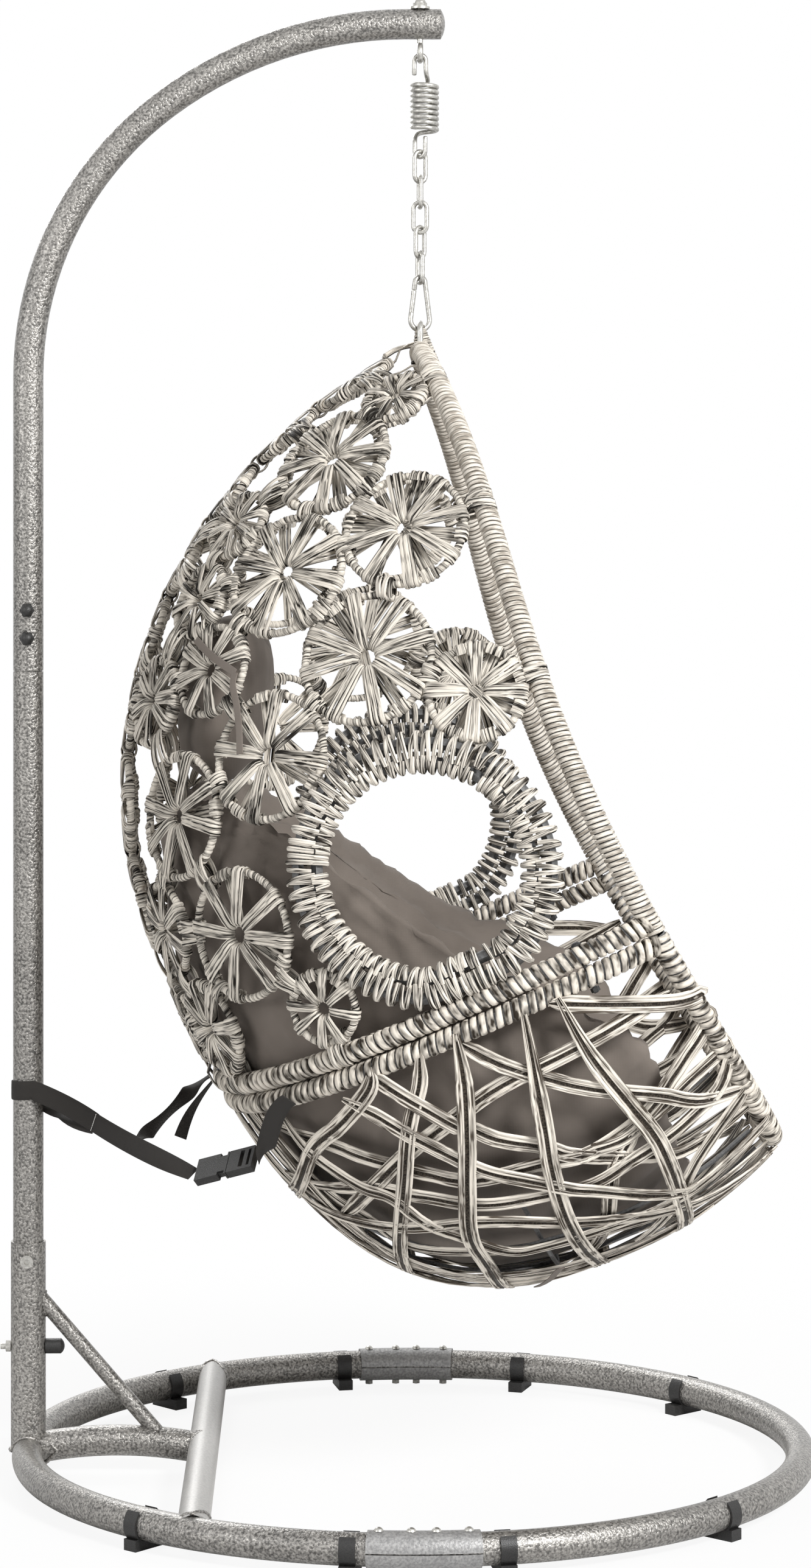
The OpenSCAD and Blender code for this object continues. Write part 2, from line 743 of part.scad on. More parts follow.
// Loop welded to the top of the basket's frame
module bail() {
    color("gainsboro") difference() {
        translate([hang_x, 0, bail_z - bail_r]) rotate([90, 0, 90]) {
            rotate_extrude(angle = 180) translate([bail_r, 0]) circle(d = bail_wire);
            for (side = [-1, 1]) translate([side * bail_r, 0, 0]) rotate([90, 0, 0])
                cylinder(h = bail_leg + wrap_r, d = bail_wire);
        }
        on_basket() rod_along(frame_path(-seam_angle, seam_angle, 2 * frame_steps), wrap_r + weld_gap);
    }
}

// ---- Basket ----

function lowness(t) = (1 - cos(t)) / 2;
function rim_drop(t) = mid_h * (1 - cos(t) * (1 - lowness(t) * (1 - cos(lip_angle))));
function rim_w(t) = rim_half_w * sin(t) * (1 - egg_taper * cos(t));
function rim_d(t) = opening_bow * pow(abs(sin(t)), 5 - 2.4 * lowness(t));
function full_w_d(t) = rim_d(t) + lip_run * sin(lip_angle * lowness(t));
function round_power(t) = 2 + boxiness * lowness(t);

// Point of the basket's outer surface: t is the angle round the opening from its top, s runs from 0 at
// the rim to 1 at the rearmost point, and inset moves it towards the middle
function egg(t, s, inset = 0) = let (
    lip = lip_angle * lowness(t),
    a = (90 + lip) * s - lip,
    p = 2 / round_power(t),
    c = (a > 0 ? pow(max(cos(a), 0), p) : cos(a)) / cos(lip),
    d = a > 0 ? full_w_d(t) + (basket_d - full_w_d(t)) * pow(sin(a), p) : full_w_d(t) + lip_run * sin(a),
    at = [-d, rim_w(t) * c, -mid_h - (rim_drop(t) - mid_h) * c])
    at + inset * unit(egg_middle - at);

// Height of the surface where the meridian t passes the depth -x, and the half width there
function spread_at(t, x) = let (
    d = max(-x, rim_d(t)),
    full = full_w_d(t),
    sine = d > full ? pow((d - full) / (basket_d - full), round_power(t) / 2) : (d - full) / lip_run,
    cosine = sqrt(max(1 - sine * sine, 0)))
    (d > full ? pow(cosine, 2 / round_power(t)) : cosine) / cos(lip_angle * lowness(t));
function drop_at(t, x) = mid_h + (rim_drop(t) - mid_h) * spread_at(t, x);
function meridian_at(x, z, low = 1, high = 179.9, n = 30) = n == 0 ? (low + high) / 2 :
    drop_at((low + high) / 2, x) < -z ? meridian_at(x, z, (low + high) / 2, high, n - 1)
    : meridian_at(x, z, low, (low + high) / 2, n - 1);
function side_y(x, z) = let (t = meridian_at(x, z)) rim_w(t) * spread_at(t, x);

// Middle line of the tube round the opening
function frame_path(from, to, steps) = [for (i = [0:steps]) let (t = from + (to - from) * i / steps,
    rim = egg(t, 0), middle = [rim.x, 0, -mid_h]) rim + wrap_r * (unit(middle - rim) + [-1, 0, 0])];

// Rearmost depth of the surface at a height below the middle
function rear_x(z) = let (c = pow((-z - mid_h) / mid_h, round_power(180) / 2))
    -(full_w_d(180) + (basket_d - full_w_d(180)) * pow(sqrt(1 - c * c), 2 / round_power(180)));

// Middle line of the hoop along the seam, from one side of the frame round the back to the other
function hoop_half(z) = let (
    front = -rim_d(seam_angle) - 2 * wrap_r - wrap_r - 1,
    rear = rear_x(z) + wrap_r)
    [for (i = [0:hoop_steps]) let (
        a = 90 * i / hoop_steps,
        x = front + (rear - front) * sin(a),
        outer = side_y(x - wrap_r * sin(a), z))
        [x, i == hoop_steps ? 0 : (outer - wrap_r * cos(a)), z]];
function hoop_path(z) = let (half = hoop_half(z)) concat(half,
    [for (i = [hoop_steps - 1:-1:0]) [half[i].x, -half[i].y, z]]);

module frame_tube(r_out, r_in, from, to, steps) {
    on_basket() sleeve_along(frame_path(from, to, steps), r_out, r_in);
}

module upper_frame_tube() {
    color("gray") frame_tube(core_d / 2, core_d / 2 - core_wall, -seam_angle, seam_angle, 2 * frame_steps);
}

module upper_frame_wrap() {
    color("#b9b2a6") frame_tube(wrap_r, core_d / 2 + 0.1, -seam_angle, seam_angle, 2 * frame_steps);
}

lower_from = seam_angle + 0.3;

module lower_frame_tube() {
    color("gray") frame_tube(core_d / 2, core_d / 2 - core_wall, lower_from, 360 - lower_from, frame_steps + 4);
}

module lower_frame_wrap() {
    color("#b9b2a6") frame_tube(wrap_r, core_d / 2 + 0.1, lower_from, 360 - lower_from, frame_steps + 4);
}

// Upright bores for the bolts through both hoops
module seam_bolt_places() {
    half = hoop_half(-seam_drop);
    for (side = [-1, 1]) for (at = [half[1], half[hoop_steps - 1]])
        translate([at.x, side * at.y, -seam_drop]) children();
}

module hoop_tube(z, r_out, r_in) {
    on_basket() difference() {
        sleeve_along(hoop_path(z), r_out, r_in);
        seam_bolt_places() cylinder(h = through, d = seam_bolt_d + 0.6, center = true);
    }
}

module upper_hoop_tube() { color("gray") hoop_tube(upper_hoop_z, core_d / 2, core_d / 2 - core_wall); }
module upper_hoop_wrap() { color("#b9b2a6") hoop_tube(upper_hoop_z, wrap_r, core_d / 2 + 0.1); }
module lower_hoop_tube() { color("gray") hoop_tube(lower_hoop_z, core_d / 2, core_d / 2 - core_wall); }
module lower_hoop_wrap() { color("#b9b2a6") hoop_tube(lower_hoop_z, wrap_r, core_d / 2 + 0.1); }

module seam_bolts() {
    color("#2b2b2b") on_basket() seam_bolt_places()
        translate([0, 0, 2 * wrap_r + fit]) pan_bolt(seam_bolt_d, 4 * wrap_r + 8, 13, 4);
}

module seam_nuts() {
    color("#2b2b2b") on_basket() seam_bolt_places()
        translate([0, 0, -2 * wrap_r - fit - 6]) hex_nut(10, 5.5, seam_bolt_d + 0.2);
}

// Ring of woven band round an armhole, lying in the side of the basket
module armhole_ring(side) {
    r = (armhole_d - armhole_band) / 2;
    path = [for (i = [0:armhole_steps - 1]) let (
        a = i * 360 / armhole_steps,
        x = armhole_x + r * cos(a),
        z = max(armhole_z + r * sin(a), on_seam + armhole_band / 2))
        [x, side * (side_y(x, z) - armhole_t / 2), z]];
    n = len(path);
    ways = [for (i = [0:n - 1]) unit(path[(i + 1) % n] - path[(i + n - 1) % n])];
    outs = [for (i = [0:n - 1]) square_to([0, side, 0], ways[i])];
    rings = rings_on(path, ways, outs, armhole_t / 2, armhole_band / 2, tube_sides);
    closed = concat(rings, [rings[0]]);
    faces = [for (f = wall_faces(0, n, tube_sides)) [for (v = f) v % (n * tube_sides)]];
    color("#b9b2a6") on_basket() polyhedron(flat(rings), faces);
}

module armhole_ring_near() { armhole_ring(-1); }
module armhole_ring_far() { armhole_ring(1); }

// Wicker wheel: rim, hub and petals, flat on z = 0
module rosette(r) {
    linear_extrude(rosette_t, center = true) {
        difference() {
            circle(r = r, $fn = 36);
            circle(r = r - rosette_rim, $fn = 36);
        }
        difference() {
            union() {
                circle(r = rosette_hub, $fn = 24);
                for (i = [0:rosette_petals - 1]) rotate([0, 0, i * 360 / rosette_petals])
                    translate([0, -petal_w / 2]) square([r - rosette_rim / 2, petal_w]);
            }
            circle(r = rosette_hub / 2, $fn = 24);
        }
    }
}

// Lays a child flat on a point with the given outward direction
module facing(at, out) {
    translate(at) rotate([0, acos(out.z), atan2(out.y, out.x)]) children();
}

module rosettes_side(side) {
    step = 4;
    color("#b9b2a6") on_basket() for (f = side_rosettes) {
        y = side_y(f.x, f.y);
        slope_x = (side_y(f.x + step, f.y) - side_y(f.x - step, f.y)) / (2 * step);
        slope_z = (side_y(f.x, f.y + step) - side_y(f.x, f.y - step)) / (2 * step);
        out = unit([-slope_x, 1, -slope_z]);
        at = [f.x, y, f.y] - (rosette_t / 2 + 5) * out;
        facing([at.x, side * at.y, at.z], [out.x, side * out.y, out.z]) rosette(f.z);
    }
}

module rosettes_near() { rosettes_side(-1); }
module rosettes_far() { rosettes_side(1); }

module rosettes_back() {
    color("#b9b2a6") on_basket() for (f = back_rosettes) {
        along = egg(f.x, f.y + 0.01) - egg(f.x, f.y - 0.01);
        round_way = egg(f.x + 1, f.y) - egg(f.x - 1, f.y);
        out = unit(cross(along, round_way));
        facing(egg(f.x, f.y) - (rosette_t / 2 + 5) * out, out) rosette(f.z);
    }
}

// Place along a meridian where it leaves the bowl under the seam
function bowl_end(t, drop, low = 0.15, high = 1, n = 24) = n == 0 ? (low + high) / 2 :
    -egg(t, (low + high) / 2).z > drop ? bowl_end(t, drop, (low + high) / 2, high, n - 1)
    : bowl_end(t, drop, low, (low + high) / 2, n - 1);

bowl_drop = seam_drop + 2 * wrap_r + 2 * fit;
bowl_start = 0.03;

module bowl_ribs() {
    color("slategray") on_basket() {
        for (t = rib_angles) let (top = bowl_end(t, bowl_drop + 6))
            rod_along([for (k = [0:14]) egg(t, bowl_start + (top - bowl_start) * k / 14, rib_in)], rib_d / 2, 6, [0, 1, 0]);
        for (s = cross_rib_places) rod_along([for (k = [0:14]) let (t = 140 + 80 * k / 14)
            egg(t, s, rib_in + rib_d + fit)], rib_d / 2, 6, [1, 0, 0]);
    }
}

// Closed thin shell over the bowl under the seam, between the frame and the hoop
module bowl_weave() {
    first_t = seam_angle + 3;
    columns = [for (i = [0:2 * weave_steps]) let (k = i / weave_steps - 1)
        180 + (180 - first_t) * sign(k) * (1 - pow(1 - abs(k), 1.4))];
    n = len(columns);
    rows = 11;
    start_s = bowl_start;
    skin = [for (inset = [1, 1 + weave_t]) for (t = columns) let (end_s = bowl_end(t, bowl_drop + 9))
        for (k = [0:rows]) egg(t, start_s + (end_s - start_s) * k / rows, inset)];
    w = rows + 1;
    m = n * w;
    outer = [for (i = [0:n - 2]) for (k = [0:rows - 1]) for (f = [
        [i * w + k, i * w + k + 1, (i + 1) * w + k], [i * w + k + 1, (i + 1) * w + k + 1, (i + 1) * w + k]]) f];
    inner = [for (f = flipped(outer)) f + [m, m, m]];
    edge = concat([for (i = [0:n - 1]) i * w], [for (k = [1:rows]) (n - 1) * w + k],
        [for (i = [n - 2:-1:0]) i * w + rows], [for (k = [rows - 1:-1:1]) k]);
    rim = [for (j = [0:len(edge) - 1]) let (a = edge[j], b = edge[(j + 1) % len(edge)]) for (f = [
        [a, b, a + m], [b, b + m, a + m]]) f];
    color("#b9b2a6") on_basket() polyhedron(skin, concat(outer, inner, rim));
}

// ---- Cushions ----

// How far from the rear point the seat cushion reaches, by angle round the opening
function cushion_edge(t) = let (low = lowness(t)) 0.86 - 0.8 * low * (2 - low)
    - 0.07 * exp(-pow((min(t, 360 - t) - 122) / 16, 2));

// Closed form that swells from a shared edge: an outer skin and an inner one
module padded_form(outer, inner, n, rows) {
    w = rows;
    m = 1 + n * w;
    skin = function (start, flip) [for (i = [0:n - 1]) let (j = (i + 1) % n) for (f = concat(
        [[start, start + 1 + i * w, start + 1 + j * w]],
        [for (k = [0:w - 2]) for (h = [0, 1]) let (
            a = start + 1 + i * w + k,
            b = start + 1 + j * w + k)
            h == 0 ? [a, a + 1, b] : [a + 1, b + 1, b]]))
        flip ? [f[2], f[1], f[0]] : f];
    rim = [for (i = [0:n - 1]) let (a = 1 + i * w + w - 1, b = 1 + ((i + 1) % n) * w + w - 1) for (f = [
        [a, a + m, b], [b, a + m, b + m]]) f];
    polyhedron(concat(outer, inner), concat(skin(0, false), skin(m, true), rim));
}

module seat_cushion() {
    rows = cushion_rings;
    skin = function (top) concat(
        [egg(0, 1, cushion_in + top * cushion_t)],
        [for (i = [0:cushion_steps - 1]) let (t = i * 360 / cushion_steps, reach = 1 - cushion_edge(t))
            for (k = [1:rows]) let (
                q = k / rows,
                crown = pow(1 - pow(q, 5), 0.5),
                tuft = 1 - 0.14 * pow(abs(cos(t * cushion_lobes / 2)), 8) * sin(180 * q))
            egg(t, 1 - reach * q, cushion_in + cushion_t * (top ? 0.12 + 0.88 * crown * tuft : 0.1 - 0.1 * crown))]);
    color("#8d8781") on_basket() padded_form(skin(0), skin(1), cushion_steps, rows);
}

module head_pillow() {
    n = 28;
    rows = 7;
    skin = function (side) concat([[side * pillow_t / 2, 0, 0]], [for (i = [0:n - 1]) for (k = [1:rows]) let (
        a = i * 360 / n,
        q = k / rows,
        corner = pow(pow(abs(cos(a)), 3.4) + pow(abs(sin(a)), 3.4), -1 / 3.4),
        pinch = 1 - 0.05 * pow(cos(2 * a), 2),
        lift = pow(1 - pow(q, 2.6), 0.62))
        [side * (pillow_t / 2 * lift + 2), corner * pinch * q * pillow_w / 2 * cos(a),
            corner * pinch * q * pillow_h / 2 * sin(a)]]);
    color("#8d8781") on_basket() translate(pillow_middle) rotate([0, pillow_lean, 0])
        padded_form(skin(-1), skin(1), n, rows);
}

// ---- Strap between the pole and the basket ----

module strap_loop() {
    color("#222222") translate([post_x, 0, strap_loop_h - strap_w / 2 - 3])
        pipe(strap_w + 6, tube_r + fit + loop_t, tube_r + fit);
}

function to_world(p) = apex + [p.x * cos(basket_tilt) - p.z * sin(basket_tilt), p.y,
    p.x * sin(basket_tilt) + p.z * cos(basket_tilt)];

pole_exit = [post_x + tube_r + fit + loop_t + 7, 0, strap_loop_h - 4];
hoop_half_low = hoop_half(lower_hoop_z);
anchor = to_world([hoop_half_low[8].x, -hoop_half_low[8].y, lower_hoop_z]);
rear_anchor = to_world([hoop_half_low[hoop_steps].x - wrap_r - 8, 0, upper_hoop_z]);
strap_sag = 92;
strap_gap = 8;
// Degrees that the webbing and the buckle are turned round their own length
strap_turn = 50;
buckle_mid = mixed(pole_exit, anchor, 0.72) - [0, 0, strap_sag];
buckle_way = unit([anchor.x - pole_exit.x, (anchor.y - pole_exit.y) * 0.5, (anchor.x - pole_exit.x) * 0.33]);
buckle_from = buckle_mid - buckle_way * buckle_len / 2;
buckle_to = buckle_mid + buckle_way * buckle_len / 2;
strap_run = [for (k = [0:0.1:1]) bezier(pole_exit, pole_exit + [70, -30, -50], buckle_from + [-70, 30, 22],
    buckle_from - buckle_way * strap_gap, k)];
hoop_way = unit(hoop_half_low[9] - hoop_half_low[7]);
strap_end = anchor + (wrap_r + 6) * [hoop_way.y * cos(basket_tilt), hoop_way.x, hoop_way.y * sin(basket_tilt)];
strap_hem = [for (k = [0:0.2:1]) bezier(buckle_to + strap_gap * buckle_way, buckle_to + buckle_way * 20,
    strap_end - buckle_way * 30 - [0, 0, 6], strap_end, k)];

// Way that the webbing's width points, from upright at its sewn ends to turned at the buckle
function strap_up(share) = [0, sin(strap_turn * share), cos(strap_turn * share)];

module strap_webbing() {
    color("#222222") {
        webbing_along(strap_run, [for (i = [0:10]) strap_up(i / 10)], strap_w, web_t);
        webbing_along(strap_hem, [for (i = [0:5]) strap_up(1 - i / 5)], strap_w, web_t);
    }
}

module strap_second() {
    along = unit(strap_run[6] - strap_run[4]);
    from = strap_run[5] + unit(cross(strap_up(0.5), along)) * (web_t + 1);
    run = [for (k = [0:0.125:1]) bezier(from, from + 50 * along, rear_anchor - [50, 0, 30], rear_anchor, k)];
    color("#222222") webbing_along(run, [for (i = [0:8]) strap_up(0.5 - i / 16)], strap_w * 0.8, web_t);
}

module on_buckle() {
    translate(buckle_mid) rotate([0, -asin(buckle_way.z), atan2(buckle_way.y, buckle_way.x)])
        rotate([90 - strap_turn, 0, 0]) children();
}

module buckle_socket() {
    color("#1d1d1d") on_buckle() difference() {
        translate([-buckle_len / 2, -buckle_w / 2, -buckle_t / 2]) cube([buckle_len * 0.55, buckle_w, buckle_t]);
        translate([-buckle_len * 0.2, -buckle_w / 2 + 3, -buckle_t / 2 + 2])
            cube([buckle_len, buckle_w - 6, buckle_t - 4]);
        for (side = [-1, 1]) translate([-buckle_len * 0.1, side * buckle_w / 2 - 5, -buckle_t])
            cube([buckle_len * 0.12, 10, 2 * buckle_t]);
    }
}

module buckle_plug() {
    color("#1d1d1d") on_buckle() difference() {
        union() {
            translate([buckle_len * 0.06, -buckle_w / 2, -buckle_t / 2])
                cube([buckle_len * 0.44, buckle_w, buckle_t]);
            for (y = [-buckle_w / 2 + 3.5, -2.5, buckle_w / 2 - 8.5])
                translate([-buckle_len * 0.19, y, -buckle_t / 2 + 2.4]) cube([buckle_len * 0.26, 5, buckle_t - 4.8]);
        }
        translate([buckle_len * 0.26, -strap_w / 2 - 1, -buckle_t]) cube([6, strap_w + 2, 2 * buckle_t]);
        translate([buckle_len * 0.4, -strap_w / 2 - 1, -buckle_t]) cube([4, strap_w + 2, 2 * buckle_t]);
    }
}

base_ring_rear();
base_ring_front();
clamp_near_upper();
clamp_near_lower();
clamp_far_upper();
clamp_far_lower();
clamp_bolts();
clamp_nuts();
ring_feet();
post_socket();
arch_tube();
crossbar();
brace();
lower_pole();
joint_spigot();
curved_arm();
arm_end_cap();
joint_bolts();
joint_cap_nuts();
set_screw();
cross_bolt();
cross_bolt_cap();
cross_nut();
hook_bolt();
hook_washer();
hook_cap_nut();
strap_loop();
coil_spring();
chain_link_1();
chain_link_2();
chain_link_3();
chain_link_4();
chain_link_5();
snap_hook();
snap_gate();
gate_pin();
bail();
upper_frame_tube();
upper_frame_wrap();
upper_hoop_tube();
upper_hoop_wrap();
lower_frame_tube();
lower_frame_wrap();
lower_hoop_tube();
lower_hoop_wrap();
armhole_ring_near();
armhole_ring_far();
rosettes_near();
rosettes_far();
rosettes_back();
seam_bolts();
seam_nuts();
bowl_ribs();
bowl_weave();
seat_cushion();
head_pillow();
strap_webbing();
strap_second();
buckle_socket();
buckle_plug();
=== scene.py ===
import math
import random
import bpy
import numpy as np
from mathutils import Matrix, Vector, noise
from mathutils.bvhtree import BVHTree


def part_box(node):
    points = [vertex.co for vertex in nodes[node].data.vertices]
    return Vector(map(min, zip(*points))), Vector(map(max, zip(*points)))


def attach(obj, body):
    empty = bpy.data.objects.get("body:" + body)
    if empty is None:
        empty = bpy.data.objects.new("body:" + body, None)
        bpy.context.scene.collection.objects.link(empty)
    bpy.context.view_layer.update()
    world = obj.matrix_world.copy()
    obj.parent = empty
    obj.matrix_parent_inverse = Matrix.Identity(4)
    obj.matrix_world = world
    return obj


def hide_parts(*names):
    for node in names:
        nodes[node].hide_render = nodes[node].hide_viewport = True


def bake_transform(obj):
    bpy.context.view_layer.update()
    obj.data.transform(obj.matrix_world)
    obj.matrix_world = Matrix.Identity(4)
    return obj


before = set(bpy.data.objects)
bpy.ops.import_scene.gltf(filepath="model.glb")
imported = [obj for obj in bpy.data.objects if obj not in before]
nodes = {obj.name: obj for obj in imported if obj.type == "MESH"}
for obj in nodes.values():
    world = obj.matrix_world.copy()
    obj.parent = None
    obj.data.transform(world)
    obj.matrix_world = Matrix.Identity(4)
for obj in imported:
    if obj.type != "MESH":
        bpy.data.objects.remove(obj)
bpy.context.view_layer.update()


# ---------------------------------------------------------------------------
# Camera, floor and light
# A level camera at standing height looks square at the chair's side. The floor
# is pale and fades to white; three soft lamps light the chair from in front.
# ---------------------------------------------------------------------------
scene = bpy.context.scene
scene.view_settings.view_transform = "Standard"


def pick(piece, *others):
    """Selects these pieces and nothing else; the first one is active."""
    bpy.ops.object.select_all(action="DESELECT")
    for one in (piece, *others):
        one.select_set(True)
    bpy.context.view_layer.objects.active = piece


def new_object(name, data):
    """Puts the data into the scene as an object and picks it."""
    made = bpy.data.objects.new(name, data)
    scene.collection.objects.link(made)
    pick(made)
    return made


CAMERA_TURN = math.radians(1.2)
camera_data = bpy.data.cameras.new("camera")
camera_data.sensor_fit = "VERTICAL"
camera_data.sensor_height = 24.0
camera_data.lens = 58.45
camera_data.shift_y = -0.1611
camera = new_object("camera", camera_data)
camera.location = (-0.109, -5.059, 1.244)
camera.rotation_euler = (math.radians(90), 0, -CAMERA_TURN)
scene.camera = camera


def area_lamp(name, place, aim, size, power):
    lamp_data = bpy.data.lights.new(name, "AREA")
    lamp_data.shape = "DISK"
    lamp_data.size = size
    lamp_data.energy = power
    lamp = new_object(name, lamp_data)
    lamp.location = place
    lamp.rotation_euler = (Vector(aim) - Vector(place)).to_track_quat("-Z", "Y").to_euler()


area_lamp("key_lamp", (2.6, -3.6, 3.4), aim=(0, 0, 0.9), size=1.3, power=265)
area_lamp("fill_lamp", (-3.4, -2.8, 2.2), aim=(0, 0, 1.0), size=2.4, power=48)
area_lamp("back_lamp", (-1.2, 3.6, 3.2), aim=(0, 0, 1.0), size=2.0, power=90)


def feed(node, sockets):
    """Fills a shader node's sockets: a node and its output are linked in, a value is set on the socket."""
    for socket, value in sockets.items():
        if isinstance(value, tuple) and isinstance(value[0], bpy.types.Node):
            node.id_data.links.new(value[0].outputs[value[1]], node.inputs[socket])
        else:
            node.inputs[socket].default_value = value


def add_node(tree, kind, sockets=None, **settings):
    """Shader node of a kind, its settings made first and its sockets filled after."""
    made = tree.nodes.new("ShaderNode" + kind)
    for setting, choice in settings.items():
        setattr(made, setting, choice)
    feed(made, sockets or {})
    return made


def plain_material(name, roughness, metallic=0.0):
    made = bpy.data.materials.new(name)
    made.use_nodes = True
    bsdf = made.node_tree.nodes["Principled BSDF"]
    feed(bsdf, {"Roughness": roughness, "Metallic": metallic})
    return made, made.node_tree, bsdf


world = bpy.data.worlds.new("studio")
scene.world = world
world.use_nodes = True
tree = world.node_tree
tree.nodes.clear()
ray = add_node(tree, "LightPath")
seen_or_glossy = add_node(tree, "Math", {0: (ray, "Is Camera Ray"), 1: (ray, "Is Glossy Ray")},
                          operation="MAXIMUM")
seen_white = add_node(tree, "Math", {0: (seen_or_glossy, 0), 1: (ray, "Is Transmission Ray")},
                      operation="MAXIMUM")
ambient = add_node(tree, "Background", {"Color": (1.0, 0.98, 0.96, 1), "Strength": 0.24})
backdrop = add_node(tree, "Background", {"Color": (1, 1, 1, 1)})
mix = add_node(tree, "MixShader", {"Fac": (seen_white, 0), 1: (ambient, 0), 2: (backdrop, 0)})
add_node(tree, "OutputWorld", {"Surface": (mix, 0)})

bpy.ops.object.select_all(action="DESELECT")
bpy.ops.mesh.primitive_circle_add(vertices=96, radius=7.0, fill_type="NGON")
floor = bpy.context.object
floor.name = "floor"
floor_paint, tree, bsdf = plain_material("floor_paint", 0.9)
feed(bsdf, {"Base Color": (0.86, 0.86, 0.86, 1)})
coords = add_node(tree, "TexCoord")
distance = add_node(tree, "VectorMath", {0: (coords, "Object")}, operation="LENGTH")
fade = add_node(tree, "MapRange", {"Value": (distance, "Value"), "From Min": 0.55, "From Max": 1.5,
                                   "To Min": 0.9}, interpolation_type="SMOOTHSTEP")
ray = add_node(tree, "LightPath")
seen = add_node(tree, "Math", {0: (fade, "Result"), 1: (ray, "Is Camera Ray")}, operation="MULTIPLY")
white = add_node(tree, "Emission")
mix = add_node(tree, "MixShader", {"Fac": (seen, 0), 1: (bsdf, 0), 2: (white, 0)})
feed(tree.nodes["Material Output"], {"Surface": (mix, 0)})
floor.data.materials.append(floor_paint)


# ---------------------------------------------------------------------------
# Stand tubes
# 40 mm steel tube with a silver-grey hammered powder coat. The ring, the arch,
# the crossbar, the brace and the socket are welded; the arm is bent in one.
# ---------------------------------------------------------------------------
def new_effect(name, inputs, outputs):
    """Empty shader node group, with its inputs' usual values and its outputs' names."""
    group = bpy.data.node_groups.new(name, "ShaderNodeTree")
    for socket, value in inputs.items():
        made = group.interface.new_socket(socket, in_out="INPUT", socket_type="NodeSocketFloat")
        made.default_value = value
    for socket in outputs:
        group.interface.new_socket(socket, in_out="OUTPUT", socket_type="NodeSocketFloat")
    return group, group.nodes.new("NodeGroupInput"), group.nodes.new("NodeGroupOutput")


# Grain: soft patches and fine speckle over any surface, as a mask from 0 to 1
grain, grain_in, grain_out = new_effect("grain", {"Size": 200.0, "Patch Size": 6.0, "Contrast": 1.0},
                                        ["Speckle", "Patches"])
coords = add_node(grain, "TexCoord")
dots = add_node(grain, "TexNoise", {"Vector": (coords, "Object"), "Scale": (grain_in, "Size"), "Detail": 3.0})
wide = add_node(grain, "TexNoise", {"Vector": (coords, "Object"), "Scale": (grain_in, "Patch Size"),
                                    "Detail": 4.0})
spread = add_node(grain, "MapRange", {"Value": (dots, "Fac"), "From Min": 0.35, "From Max": 0.65})
power = add_node(grain, "Math", {0: (spread, "Result"), 1: (grain_in, "Contrast")}, operation="MULTIPLY")
feed(grain_out, {"Speckle": (power, 0), "Patches": (wide, "Fac")})


def grained(name, roughness, metallic, size, patch, dark, light, bump, rough):
    """Material whose colour, roughness and bump follow the grain effect."""
    made, tree, bsdf = plain_material(name, roughness, metallic)
    effect = add_node(tree, "Group", {"Size": size, "Patch Size": patch, "Contrast": 1.0}, node_tree=grain)
    patches = add_node(tree, "Math", {0: (effect, "Patches"), 1: 0.4}, operation="MULTIPLY")
    blend = add_node(tree, "Math", {0: (effect, "Speckle"), 1: 0.6, 2: (patches, 0)},
                     operation="MULTIPLY_ADD")
    shade = add_node(tree, "Mix", {"Factor": (blend, 0), "A": (*dark, 1), "B": (*light, 1)}, data_type="RGBA")
    gloss = add_node(tree, "MapRange", {"Value": (effect, "Patches"), "To Min": rough[0], "To Max": rough[1]})
    height = add_node(tree, "Bump", {"Height": (effect, "Speckle"), "Strength": bump, "Distance": 0.0006})
    feed(bsdf, {"Base Color": (shade, "Result"), "Roughness": (gloss, "Result"),
                "Normal": (height, "Normal")})
    return made


def dress(material, *names):
    """Gives carried nodes their finish."""
    for name in names:
        mesh = nodes[name].data
        mesh.materials.clear()
        mesh.materials.append(material)


hammered = grained("hammered_coat", roughness=0.4, metallic=0.7, size=300.0, patch=5.0,
                   dark=(0.008, 0.0075, 0.007), light=(0.5, 0.48, 0.45), bump=0.9, rough=(0.26, 0.42))
feed(hammered.node_tree.nodes["Principled BSDF"], {"Coat Weight": 0.25, "Coat Roughness": 0.25})
dress(hammered, "base_ring_rear", "base_ring_front", "post_socket", "arch_tube", "brace", "lower_pole",
      "joint_spigot", "curved_arm", "arm_end_cap")
clamp_coat = grained("clamp_coat", roughness=0.45, metallic=0.35, size=300.0, patch=9.0,
                     dark=(0.2, 0.2, 0.2), light=(0.46, 0.455, 0.45), bump=0.35, rough=(0.38, 0.58))
dress(clamp_coat, "clamp_near_upper", "clamp_near_lower", "clamp_far_upper", "clamp_far_lower")
smooth_coat = grained("smooth_coat", roughness=0.4, metallic=0.45, size=300.0, patch=12.0,
                      dark=(0.4, 0.395, 0.385), light=(0.56, 0.55, 0.53), bump=0.15, rough=(0.36, 0.5))
dress(smooth_coat, "crossbar")

# Weld beads, a rippled bead round each welded end
POST_X = -0.50175
RING_X = 0.00825
RING_R = 0.510
RING_Z = 0.030
TUBE_R = 0.020
CROSSBAR_X = -0.26975


def poly_curve(name, points, widths):
    """Curve that runs straight from point to point, with its relative width at each."""
    curve = bpy.data.curves.new(name, "CURVE")
    curve.dimensions = "3D"
    spline = curve.splines.new("POLY")
    spline.points.add(len(points) - 1)
    for place, point, width in zip(spline.points, points, widths):
        place.co = (*point, 1)
        place.radius = width
    return curve


def round_rod(name, points, widths, radius, closed=False):
    """Smooth round rod along points."""
    curve = poly_curve(name, points, widths)
    curve.bevel_depth = radius
    curve.bevel_resolution = 2
    curve.use_fill_caps = not closed
    curve.splines[0].use_cyclic_u = closed
    new_object(name, curve)
    bpy.ops.object.convert(target="MESH")
    bpy.ops.object.shade_smooth()
    return bpy.context.object


def bead(name, points, radius=0.0024):
    piece = round_rod(name, points, [1 + 0.16 * math.sin(i * 2.4) for i in range(len(points))], radius, True)
    piece.data.materials.append(hammered)
    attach(piece, "stand")


